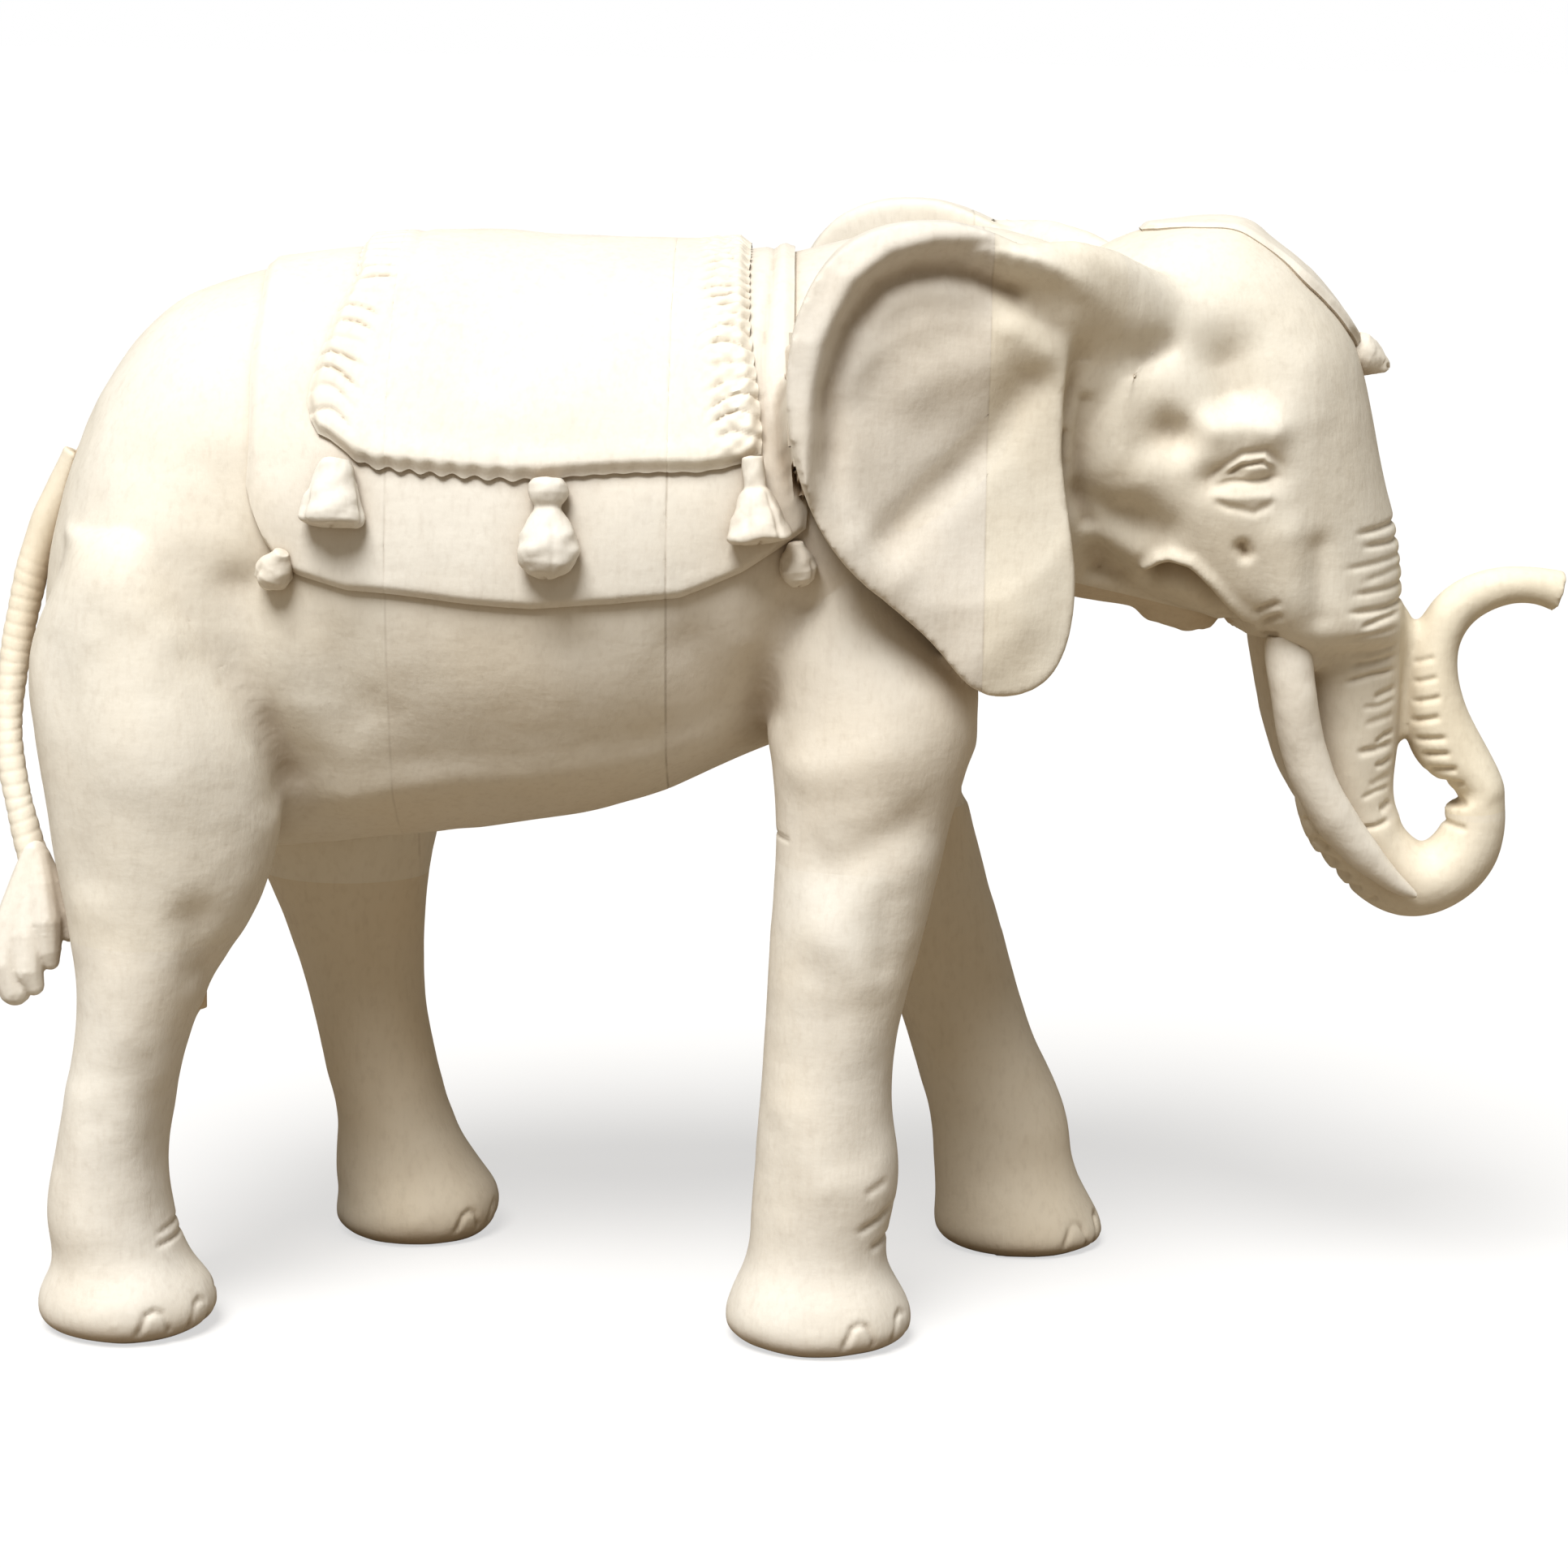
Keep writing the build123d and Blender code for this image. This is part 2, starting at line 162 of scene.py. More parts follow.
class Clay:  # a mesh being carved: its points, seen from the right side, and its normals
    def __init__(self, obj):
        self.obj = obj
        self.place = points(obj)
        self.flip = np.where(self.place[:, 1] > 0, -1.0, 1.0)
        self.look()

    def look(self):  # after moving points: store them and read the normals again
        movePoints(self.obj, self.place)
        self.normal = normals(self.obj)
        self.seen = self.place.copy()
        self.seen[:, 1] *= self.flip
        self.facing = self.normal.copy()
        self.facing[:, 1] *= self.flip

    def push(self, chosen, amount, direction=None):  # amount in mm, into the wood
        if direction is None:
            self.place[chosen] -= self.normal[chosen] * amount[:, None]
        else:
            way = np.array(direction, float)[None, :] * np.ones((len(amount), 1))
            way[:, 1] *= self.flip[chosen]
            self.place[chosen] -= way * amount[:, None]

    # A gouge along path: in the side view when flat, or in space. A negative depth raises wood.
    def cut(self, path, width, depth, region=None, side="both", flat=True, facing=0.15, direction=None,
            fade=0.0):
        path = np.array(path, float)
        view = self.seen[:, [0, 2]] if flat else self.seen
        reach = width * 1.5
        near = np.all((view > path.min(0) - reach) & (view < path.max(0) + reach), axis=1)
        if region is not None:
            near &= region
        if side == "right":
            near &= self.flip > 0
        elif side == "left":
            near &= self.flip < 0
        chosen = np.nonzero(near)[0]
        if not len(chosen):
            return
        gap, share = along(path, view[chosen])
        amount = depth * np.exp(-((gap / (0.6 * width)) ** 2))
        if fade:
            amount *= eased(0, fade, share) * eased(0, fade, 1 - share)
        if flat and facing is not None:
            amount *= eased(facing, facing + 0.35, -self.facing[chosen, 1])
        self.push(chosen, amount, direction)


    def soften(self, path, width, rounds):  # sand one place smooth
        gap, _ = along(path, self.seen[:, [0, 2]])
        near = gap < 2.4 * width
        weight = np.exp(-((gap / width) ** 2))[near]
        for i in range(3):
            soft = blurred(self.obj, self.place[:, i], rounds, near)[near]
            self.place[near, i] += weight * (soft - self.place[near, i])
        self.look()


# Values averaged with their neighbours along the edges, all over or only near.
def blurred(obj, values, rounds, near=None):
    a, b = edgeEnds(obj)
    if near is None:
        near = np.ones(len(values), bool)
    else:
        kept = near[a] & near[b]
        index = np.cumsum(near) - 1
        a, b = index[a[kept]], index[b[kept]]
    part = values[near]
    count = np.maximum(np.bincount(a, minlength=len(part)) + np.bincount(b, minlength=len(part)), 1)
    for _ in range(rounds):
        part = 0.5 * part + 0.5 * neighbourSum(part, a, b) / count
    result = values.copy()
    result[near] = part
    return result


# How far each point lies below its blurred surroundings, for dust and shade tones.
def recess(obj, rounds=(5, 45)):
    place, normal = points(obj), normals(obj)
    near = np.stack([blurred(obj, place[:, i], rounds[0]) for i in range(3)], axis=1)
    wide = np.stack([blurred(obj, near[:, i], rounds[1]) for i in range(3)], axis=1)
    floatAttribute(obj, "recess", 2.5 * ((near - place) * normal).sum(1) + ((wide - place) * normal).sum(1))


# the carving as one form
carving = {
    "grain": 0.85,  # remesh size
    "softenRounds": 10,
    "nodes": ["rump_block", "loin_block", "shoulder_block", "head_block", "hind_leg_right", "hind_leg_left",
              "fore_leg_right", "fore_leg_left", "lower_jaw", "trunk_upper", "trunk_bend", "trunk_tip",
              "ear_right_rear", "ear_left_rear", "leg_dowels", "peg_dowels"],
}


# A rounded limb through (x, y, z, radius) points, as a string of balls.
def beads(name, path, spacing=1.5):
    path = np.array(path, float)
    balls = []
    for a, b in zip(path[:-1], path[1:]):
        steps = max(1, int(np.linalg.norm(b[:3] - a[:3]) / spacing))
        balls += [a + (b - a) * k / steps for k in range(steps)]
    balls.append(path[-1])
    made = []
    for x, y, z, radius in balls:
        centre = (x * mm, y * mm, z * mm)
        bpy.ops.mesh.primitive_ico_sphere_add(subdivisions=2, radius=radius * mm, location=centre)
        made.append(bpy.context.object)
    onlyThis(made[0])
    for ball in made:
        ball.select_set(True)
    bpy.ops.object.join()
    made[0].name = name
    return made[0]


def remeshed(obj, grain, rounds):
    applied(obj, "REMESH", mode="VOXEL", voxel_size=grain * mm, adaptivity=0.0)
    applied(obj, "SMOOTH", factor=0.5, iterations=rounds)


def joined(first, *others):
    onlyThis(first)
    for other in others:
        other.select_set(True)
    bpy.ops.object.join()
    return first


def mirrored(path):
    return [(x, -y, z, radius) for x, y, z, radius in path]


def prism(outline, y0, y1):  # a cutting block with this outline in the side view
    bpy.ops.mesh.primitive_cylinder_add(vertices=len(outline), radius=1, depth=2, end_fill_type="NGON")
    cutter = bpy.context.object
    corners = points(cutter) * mm
    around = math.pi / 2 - np.arctan2(corners[:, 1], corners[:, 0])
    turn = np.round(around / (2 * math.pi / len(outline))).astype(int) % len(outline)
    at = np.array(outline, float)[turn]
    movePoints(cutter, np.stack([at[:, 0], np.where(corners[:, 2] > 0, y1, y0), at[:, 1]], axis=1))
    onlyThis(cutter)
    bpy.ops.object.mode_set(mode="EDIT")
    bpy.ops.mesh.select_all(action="SELECT")
    bpy.ops.mesh.normals_make_consistent(inside=False)
    bpy.ops.object.mode_set(mode="OBJECT")
    return cutter


# The ear's flap ends here, and behind its front edge the cheek shows.
earFlapEnd = [(69, 213), (67, 225), (66, 234), (66.5, 243), (67, 250), (68, 256), (70, 263), (73, 272),
              (95, 272), (95, 196), (73, 196), (71.5, 205)]
flapCutter = {"right": -95, "left": 25, "reach": 70}
earFronts = []
for node in ("ear_right_front", "ear_left_front"):
    flap = copyNodes("flap", [node])
    edge = flapCutter[node.split("_")[1]]
    cutter = prism(earFlapEnd, edge, edge + flapCutter["reach"])
    applied(flap, "BOOLEAN", operation="DIFFERENCE", object=cutter, solver="EXACT")
    bpy.data.objects.remove(cutter)
    print("flap", node, len(flap.data.vertices))
    earFronts.append(flap)


# Wood that the plain frame lacks: the ear's rim where it runs on to the head, the web between the trunk's
# limbs, the tusk sockets and the tip of the jaw.
earRoot = [
    [(44, -58, 271, 4), (52, -56, 269.5, 5), (60, -53, 268.5, 6.5), (67, -49, 268, 7.5), (75, -42, 265, 8.5),
     (83, -35, 261, 8.5), (91, -30, 258, 8), (99, -27, 255, 7)],
    [(58, -53, 262, 5), (66, -50, 259, 6), (74, -44, 257, 7), (81, -38.5, 256, 7.5), (89, -32.5, 255.5, 7),
     (97, -29, 254, 6)],
    [(66, -43, 257, 7), (70, -38.5, 248, 7), (70, -37, 240, 6), (68, -36.5, 231, 5), (67, -36, 224, 4)],
    [(70, -38.5, 250, 7), (78, -36, 250, 6.5), (84, -33, 250, 5)],
    [(79, -33.5, 244, 4), (79, -34, 232, 4), (79, -33, 220, 4)],
]
trunkWeb = [(156.5, 0, 151, 4), (156.3, 0, 160, 4.5), (156, 0, 170, 4.5), (156, 0, 179, 3.5)]
tuskSocket = [(122, -15, 196, 11), (125, -17, 186, 10.5), (129, -18.5, 178, 7.5), (130.5, -18.5, 172, 5.5)]
jawTip = [(94, -5, 183, 6), (102, -4, 180.2, 5.8), (106, -3, 179.4, 4.6)]
extras = [beads("web", trunkWeb)]
for limb in (*earRoot, tuskSocket, jawTip):
    extras += [beads("limbRight", limb, 3), beads("limbLeft", mirrored(limb), 3)]
whole = joined(copyNodes("wholeCarving", carving["nodes"]), *earFronts, *extras)
remeshed(whole, carving["grain"], carving["softenRounds"])


# Extra places where blocks meet are sanded into each other before the fine carving.
roughSanding = [  # path, width, rounds
    ([(118, 175), (158, 175)], 8, 110),  # lip and trunk
    ([(70, 264), (84, 260), (98, 255)], 13, 70),  # ear root
    ([(74, 252), (76, 240), (79, 228), (79.5, 205)], 8, 60),  # neck behind the cheek
    ([(-150, 100), (-150, 100.1)], 16, 40),  # tops of the legs
    ([(-100, 100), (-100, 100.1)], 16, 40),
    ([(16, 122), (20, 122.1)], 16, 40),
]
rough = Clay(whole)
for path, width, rounds in roughSanding:
    rough.soften(path, width, rounds)
del rough


def finer(obj, wanted):  # splits the faces whose middles are wanted, for small carving
    middles = np.empty(len(obj.data.polygons) * 3, np.float32)
    obj.data.polygons.foreach_get("center", middles)
    onlyThis(obj)
    bpy.ops.object.mode_set(mode="EDIT")
    bpy.ops.mesh.select_mode(type="FACE")
    bpy.ops.mesh.select_all(action="DESELECT")
    bpy.ops.object.mode_set(mode="OBJECT")
    obj.data.polygons.foreach_set("select", wanted(middles.reshape(-1, 3) / mm))
    bpy.ops.object.mode_set(mode="EDIT")
    bpy.ops.mesh.subdivide(number_cuts=1, smoothness=0)
    bpy.ops.object.mode_set(mode="OBJECT")


def nearEye(m):
    return (m[:, 0] > 94) & (m[:, 0] < 126) & (abs(m[:, 1]) > 12) & (m[:, 2] > 204) & (m[:, 2] < 240)


def onTrunk(m):
    return (m[:, 0] > 136) & (m[:, 2] < 205)


finer(whole, nearEye)
finer(whole, onTrunk)
print("rough carving", len(whole.data.vertices), "points")

clay = Clay(whole)

# Ears stand outside a slanting plane on each side.
ear = {"front": (81.0, -47.0), "rear": (1.0, -75.0), "thickness": 10.0}
earRun = np.array([ear["rear"][0] - ear["front"][0], ear["rear"][1] - ear["front"][1], 0])
earRun /= np.linalg.norm(earRun)
earOut = np.array([earRun[1], -earRun[0], 0])
earOut *= -np.sign(earOut[1])
earMiddle = np.array([(ear["front"][0] + ear["rear"][0]) / 2, (ear["front"][1] + ear["rear"][1]) / 2, 0])
earInner = earMiddle - earOut * ear["thickness"] / 2
earOutside = (clay.seen - earInner) @ earOut > -0.4
earFrontEnd = np.where(clay.seen[:, 2] > 252, 84, 72)
isEar = earOutside & (clay.seen[:, 0] < earFrontEnd) & (clay.seen[:, 0] > -6) & (clay.seen[:, 2] > 160)
isBody = ~isEar

# body and legs: path seen from the side, width, depth
bodyCuts = [
    ([(-132, 188), (-129, 168), (-124, 156), (-119, 145), (-117, 134)], 11, 3.4),  # flank behind the ribs
    ([(-123, 192), (-113, 176), (-104, 160)], 18, 2.6),
    # fold along the belly
    ([(-120, 131), (-108, 135), (-96, 138), (-79, 141), (-61, 142), (-43, 144), (-20, 150)], 8, -1.8),
    ([(-136, 213), (-137, 194), (-136, 174)], 14, 1.6),
    ([(-155, 195), (-151, 170), (-150, 145)], 20, -2.4),  # haunch
    ([(-177, 172), (-173, 156), (-171, 140), (-168, 118)], 10, 1.1),  # edge of the buttock
    ([(-141, 107), (-140, 94)], 9, 2.4),  # hollow above the hock
    ([(-126, 100), (-134, 88)], 9, -1.2),
    ([(-160, 92), (-158, 78)], 9, -1.0),
    ([(-152, 60), (-150, 45)], 8, 0.9),
    ([(4, 178), (16, 192)], 15, -2.2),  # shoulder
    ([(-4, 160), (-5, 172), (2, 186)], 8, 2.2),  # edge of the shoulder on the ribs
    ([(-22, 176), (-14, 164)], 13, 1.8),
    ([(22, 128), (13, 124), (32, 134)], 11, 2.2),  # hollow of the elbow
    ([(8, 147), (24, 151)], 12, -1.8),
    ([(12, 106), (20, 97)], 10, -1.4),
    ([(27, 116), (26, 100)], 7, 1.0),
    ([(6, 60), (12, 44)], 10, -0.8),
    ([(20, 70), (22, 52)], 9, 0.7),
    ([(-172, 60), (-170, 30)], 8, -0.7),
]
for path, width, depth in bodyCuts:
    clay.cut(path, width, depth, region=isBody, facing=-0.1)
clay.look()
bodySoft = isBody & (clay.seen[:, 0] < 60)
for i in range(3):
    soft = blurred(whole, clay.place[:, i], 14)
    clay.place[bodySoft, i] = soft[bodySoft]
clay.look()
fineBodyCuts = [
    ([(-127, 162), (-122, 148), (-119, 134)], 4.5, 1.0),  # crease in front of the thigh
    ([(-153, 23.5), (-147, 24.5)], 1.0, 0.6),
    ([(-153, 26.5), (-146, 28.5)], 1.0, 0.5),
    ([(20, 31), (27, 34), (31, 37)], 1.6, 0.9),  # skin folds above the fore foot
    ([(24, 26), (30, 28)], 1.6, 0.8),
    ([(22, 41), (29, 44)], 1.8, 0.5),
    ([(-2, 129), (3, 128.6)], 0.9, 0.5),  # check in the wood
]
for path, width, depth in fineBodyCuts:
    clay.cut(path, width, depth, region=isBody, facing=None, side="right", fade=0.3)
clay.look()
print("body carved")

# head
headCuts = [
    ([(107, 246), (108.5, 240)], 14, 7.0),  # temple
    ([(80, 240), (79, 226), (80.5, 217)], 12, -3.8),  # cheek beside the ear
    ([(84, 240), (84.7, 220)], 15, -2.0),
    ([(91.6, 228.6), (93.2, 228)], 9, 4.8),  # hollow behind the eye
    ([(71.5, 236), (70.5, 226), (71.5, 214), (74, 206)], 3.6, 2.0),  # behind the cheek
    ([(104, 230.2), (111, 231.4), (117, 229.6)], 7, -2.2),  # brow
    ([(103, 217), (107, 218.5), (113, 219.6), (118, 218.8)], 7.0, 2.0),  # eye socket
    ([(104.5, 218.6), (110.2, 222.2), (115.6, 222.9), (120, 219.8)], 2.3, -0.8),  # upper lid
    ([(100.9, 215.8), (104.3, 219.4), (110.5, 223.9), (116.2, 224.7), (122, 219.8)], 1.6, 0.8),
    ([(112.6, 219.9), (115.8, 220.2)], 3.2, -1.5),  # ball
    ([(106.5, 217.9), (110.4, 220.8), (115.2, 221.8), (118.8, 219.6)], 0.9, 0.8),
    ([(103.1, 215.2), (108, 216.8), (115.1, 216.9), (121.4, 218.6)], 1.2, 0.7),
    ([(104.5, 213.4), (110, 213.2), (117, 213.6)], 2.6, -0.6),
    ([(102.7, 213), (106.8, 210.9), (113.9, 209.4), (119.5, 212.6)], 1.8, 0.6),
    ([(111.4, 200.6), (112.2, 199.2)], 2.8, 2.6),  # dimple
    ([(73, 213), (84, 208.6), (91, 204)], 8, 2.4),  # valley under the cheek
    ([(80, 202), (86, 199)], 6, -1.0),
    ([(76, 197), (83, 192)], 6, 1.6),
    ([(89.2, 194.8), (91.3, 197.3), (94.1, 198.2), (99.2, 196.7), (104.4, 191.7), (108.1, 187.5),
      (112.5, 183.9), (117, 180.4)], 2.6, -2.1),  # upper lip
    # mouth
    ([(90.5, 192), (93.9, 192.8), (98.9, 191.9), (103.3, 188.4), (107.1, 184.1), (110.5, 180.5)], 3.4, 6.4),
    ([(122, 203), (123.9, 189.1), (125.8, 180)], 9, -1.6),  # swelling over the tusk root
    ([(130.8, 200), (131.5, 191.8), (132, 183)], 6.0, 1.5),  # between the tusk root and the trunk
    ([(115.5, 183.8), (121.8, 187.6)], 1.4, 0.9),
    ([(117.1, 180.3), (122.7, 184.4)], 1.4, 0.9),
    ([(118.6, 177.4), (122.9, 178.6)], 1.4, 0.8),
    ([(126, 243), (127, 233)], 10, -1.0),
]
for path, width, depth in headCuts:
    clay.cut(path, width, depth, region=isBody, facing=0.1, fade=0.22 if width < 2.5 else 0)
clay.look()
# Under the ear's root, behind the trunk, and under the lip.
clay.cut([(74, 248), (80, 246.6), (86, 247.6), (91, 249.6)], 4.5, 1.6, region=clay.seen[:, 0] > 78, facing=0.1)
behindTrunk = isBody & (clay.seen[:, 2] < 176)
clay.cut([(117, 172), (121, 160), (126, 145)], 8, 6, region=behindTrunk, facing=None, direction=(-1, 0, 0))
clay.cut([(111, 177.5), (114, 178.5)], 3, 2.5, region=isBody, facing=None, direction=(0, 0, -1))
clay.look()

# ears: the last number is the share of the stroke that fades at each end
earCuts = [
    ([(3, 217), (4, 236), (6, 251), (13, 266), (22, 273), (33, 276), (45, 276), (58, 271), (68, 265), (80, 257)],
     6, -3.2, 0),  # rolled rim
    ([(14, 210), (11, 222), (11, 240), (15, 254), (22, 264), (30, 267.5), (38, 268), (46, 266.5), (54, 263),
      (62, 257.5), (68, 252)], 5.5, 3.2, 0.16),  # under the rim
    ([(16, 240), (22, 252), (32, 259), (44, 259)], 16, 2.6, 0),  # the flap falls back towards the rim
    ([(30, 240), (40, 244), (48, 248)], 10, -1.0, 0),
    ([(54, 254), (59, 248)], 8, -1.4, 0),
    ([(58, 241), (51, 230), (43, 221), (34, 213), (25, 205)], 9, 2.1, 0),  # long valley
    ([(18, 204), (26, 196)], 9, -1.4, 0),
    ([(56, 184), (48, 176)], 12, -1.2, 0),
]
for path, width, depth, fade in earCuts:
    outer = isEar & (clay.facing @ earOut > 0.1)
    before = clay.place.copy()
    clay.cut(path, width, depth, region=outer, facing=None, direction=earOut, fade=fade)
    clay.place = before + (clay.place - before) * (1 - eased(66, 79, clay.seen[:, 0]))[:, None]
clay.look()
earSanding = [  # the ear's root is sanded into the head: path, width, rounds
    ([(66, 266), (78, 262), (92, 257)], 7, 24),
    ([(75, 255), (77, 246), (79, 234), (79, 218)], 6.5, 90),
    ([(76, 251), (86, 251)], 6, 60),
]
for path, width, rounds in earSanding:
    clay.soften(path, width, rounds)
print("head and ears carved")

# trunk: wrinkles right round it
isTrunk = isBody & (clay.seen[:, 0] > 128)
trunkCuts = []
z = 204.0
while z > 126:  # down the face of the upper limb
    k = len(trunkCuts)
    left = np.interp(z, [126, 160, 171, 206], [149, 146, 139, 139]) + 3.0 * math.sin(k * 2.4)
    right = 155.2 if z < 183 else 162
    bend = 0.7 * math.sin(k * 1.7)
    path = [(left, z - 1.1 + bend), ((left + right) / 2, z - bend / 2), (right, z + 1.2)]
    trunkCuts.append((path, 1.5 + 0.3 * math.sin(k * 3.1), 0.62 + 0.25 * math.sin(k * 1.3 + 1)))
    z -= 3.8 + 0.9 * math.sin(k * 2.1)
trunkCuts += [([(z0x, z0), (z1x, z1)], w, d) for z0x, z0, z1x, z1, w, d in (
    (159, 168, 165, 170, 1.4, 0.5), (159, 163, 166, 165, 1.4, 0.6), (159, 158, 167, 160, 1.4, 0.7),
    (159, 153, 167, 155, 1.5, 0.9), (160, 148.5, 169, 149.5, 1.5, 0.9), (162, 144.5, 170, 145.5, 1.5, 1.0),
    (164, 140.5, 172, 141.5, 1.5, 1.0), (167, 136.5, 174, 137.5, 1.5, 0.9), (168, 132, 175, 132.5, 1.5, 0.8),
    (168, 127, 175, 126, 1.5, 0.7), (132, 134, 136, 130, 1.6, 0.9), (133, 128, 138, 124.5, 1.6, 1.0),
    (135, 122.5, 140, 120, 1.6, 1.0), (137, 118, 143, 116, 1.6, 1.0), (141, 113.5, 146, 113, 1.6, 0.9),
    (145, 109.5, 149, 110, 1.5, 0.8), (150, 106, 153, 108, 1.4, 0.6))]
for path, width, depth in trunkCuts:
    clay.cut(path, width, depth, region=isTrunk, facing=None, fade=0.25)
clay.look()

# toenails, and creases over the feet
feet = {  # middle of the sole, and its radius
    "hind_leg_right": (-162.0, -42.0, 21.5), "hind_leg_left": (-96.6, 42.0, 21.0),
    "fore_leg_right": (11.9, -42.0, 22.0), "fore_leg_left": (66.0, 42.0, 22.0),
}
nail = {"angles": (-62, -24, 12, 44), "halfWidth": 11.0, "tall": 9.5, "line": 1.4, "depth": 0.9}
tall = nail["tall"]
nailOutline = [(-1, 0.5), (-0.95, 0.45 * tall), (-0.5, 0.9 * tall), (0, tall),
               (0.5, 0.9 * tall), (0.95, 0.45 * tall), (1, 0.5)]
for fx, fy, fr in feet.values():
    for angle in nail["angles"]:
        ring = []
        for turn, rise in nailOutline:
            a = math.radians(angle + turn * nail["halfWidth"])
            ring.append((fx + fr * math.cos(a), -abs(fy) + fr * math.sin(a), rise))
        clay.cut(ring, nail["line"], nail["depth"], side="right" if fy < 0 else "left", flat=False)
clay.look()

# hand-worked surface: slow waves, then rasp flats
wave = noise(clay.seen, 14, 1) * 0.35 + noise(clay.seen, 6, 2) * 0.14
calm = np.where(isTrunk | isEar, 0.6, 1.0)
clay.place += clay.normal * (wave * calm)[:, None]
clay.place[:, 2] = np.maximum(clay.place[:, 2], 0)
clay.look()
recess(whole)
carvedNormal = whole.data.attributes.new("carvedNormal", "FLOAT_VECTOR", "POINT")
carvedNormal.data.foreach_set("vector", normals(whole).astype(np.float32).ravel())
print("carving done")


# The form is cut into the pieces that are glued together, with boxes turned about Z or tilted about Y.
def block(low, high, turn=0.0, tilt=0.0, pivot=(0, 0, 0), flip=False):
    low, high = Vector(low), Vector(high)
    bpy.ops.mesh.primitive_cube_add(size=1, location=(0, 0, 0))
    cutter = bpy.context.object
    sized = Matrix.Diagonal(((high - low) * mm).to_4d())
    cutter.data.transform(Matrix.Translation((low + high) / 2 * mm) @ sized)
    about = Matrix.Translation(Vector(pivot) * mm)
    spun = Matrix.Rotation(math.radians(turn), 4, "Z") @ Matrix.Rotation(math.radians(tilt), 4, "Y")
    cutter.data.transform(about @ spun @ about.inverted())
    if flip:
        cutter.data.transform(Matrix.Diagonal((1, -1, 1, 1)))
        cutter.data.flip_normals()
    return cutter


def takeOut(obj, name, *cutters):  # what of obj lies in the cutting boxes becomes a new piece
    cutter = joined(*cutters)
    taken = bpy.data.objects.new(name, obj.data.copy())
    bpy.context.scene.collection.objects.link(taken)
    applied(taken, "BOOLEAN", operation="INTERSECT", object=cutter, solver="MANIFOLD")
    applied(obj, "BOOLEAN", operation="DIFFERENCE", object=cutter, solver="MANIFOLD")
    bpy.data.objects.remove(cutter)
    return taken


# Parts a piece that is in several bits. The function named gives each bit's node from its middle.
def sortOut(obj, named):
    onlyThis(obj)
    bpy.ops.object.mode_set(mode="EDIT")
    bpy.ops.mesh.select_all(action="SELECT")
    bpy.ops.mesh.separate(type="LOOSE")
    bpy.ops.object.mode_set(mode="OBJECT")
    found = {}
    for bit in sorted(bpy.context.selected_objects, key=lambda one: -len(one.data.vertices)):
        node = named(points(bit).mean(0))
        if node in found:
            joined(found[node], bit)
        else:
            found[node] = bit
            bit.name = node + "_carved"
    return found


def highOf(node):
    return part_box(node)[1] / mm


rumpSeam, girthSeam, neckSeam = highOf("rump_block")[0], highOf("loin_block")[0], highOf("shoulder_block")[0]
hindJoint, foreJoint = highOf("hind_leg_right")[2], highOf("fore_leg_right")[2]
lipJoint = highOf("trunk_upper")[2]
pieces = {}
earTurn = math.degrees(math.atan2(earRun[1], earRun[0])) - 180
ix, iy = earInner[:2]
earBoxes = [block((ix - 55, iy - 40, 158), (ix + 42, iy, 300), turn=earTurn, pivot=(ix, iy, 0), flip=flip)
            for flip in (False, True)]
ears = sortOut(takeOut(whole, "ears", *earBoxes), lambda m: "ear_right_rear" if m[1] < 0 else "ear_left_rear")
for node, earPiece in ears.items():
    front = node.replace("rear", "front")
    pieces[front] = takeOut(earPiece, front + "_carved", block((neckSeam, -150, 100), (250, 150, 350)))
    pieces[node] = earPiece
bodyTree = BVHTree.FromObject(whole, bpy.context.evaluated_depsgraph_get())
legBoxes = [block((x0, y0, -10), (x1, y1, top))
            for x0, x1, top in ((-250, -60, hindJoint), (-40, 100, foreJoint))
            for y0, y1 in ((-120, -1), (1, 120))]


def legNode(middle):
    return ("fore" if middle[0] > -40 else "hind") + "_leg_" + ("right" if middle[1] < 0 else "left")


pieces.update(sortOut(takeOut(whole, "legs", *legBoxes), legNode))
head = takeOut(whole, "head_block_carved", block((neckSeam, -150, 50), (250, 150, 350)))
tipBox = block((155.6, -60, 128), (260, 60, 230), tilt=-5, pivot=(155.6, 0, 166))
pieces["trunk_tip"] = takeOut(head, "trunk_tip_carved", tipBox)
trunk = takeOut(head, "trunk_upper_carved", block((112, -60, 60), (260, 60, lipJoint)))
pieces["trunk_bend"] = takeOut(trunk, "trunk_bend_carved", block((100, -60, 50), (260, 60, 128)))
pieces["trunk_upper"] = trunk
jawBox = block((66, -28, 160), (114, 28, 187), tilt=14, pivot=(80, 0, 187))
pieces["lower_jaw"] = takeOut(head, "lower_jaw_carved", jawBox)
pieces["head_block"] = head
headTree = BVHTree.FromObject(head, bpy.context.evaluated_depsgraph_get())
for node, seam in (("shoulder_block", girthSeam), ("loin_block", rumpSeam)):
    pieces[node] = takeOut(whole, node + "_carved", block((seam, -150, 50), (250, 150, 350)))
whole.name = "rump_block_carved"
pieces["rump_block"] = whole
# Glue lines across X or Z: axis, place, and how far the edge is worn back.
glueLines = [(0, rumpSeam, 0.06), (0, girthSeam, 0.13), (0, neckSeam, 0.07), (2, hindJoint, 0),
             (2, foreJoint, 0)]


def ownLines(piece):  # the glue lines at which a piece ends
    place = points(piece)
    ends = place.min(0), place.max(0)
    return [line for line in glueLines if min(abs(end[line[0]] - line[1]) for end in ends) < 0.1]


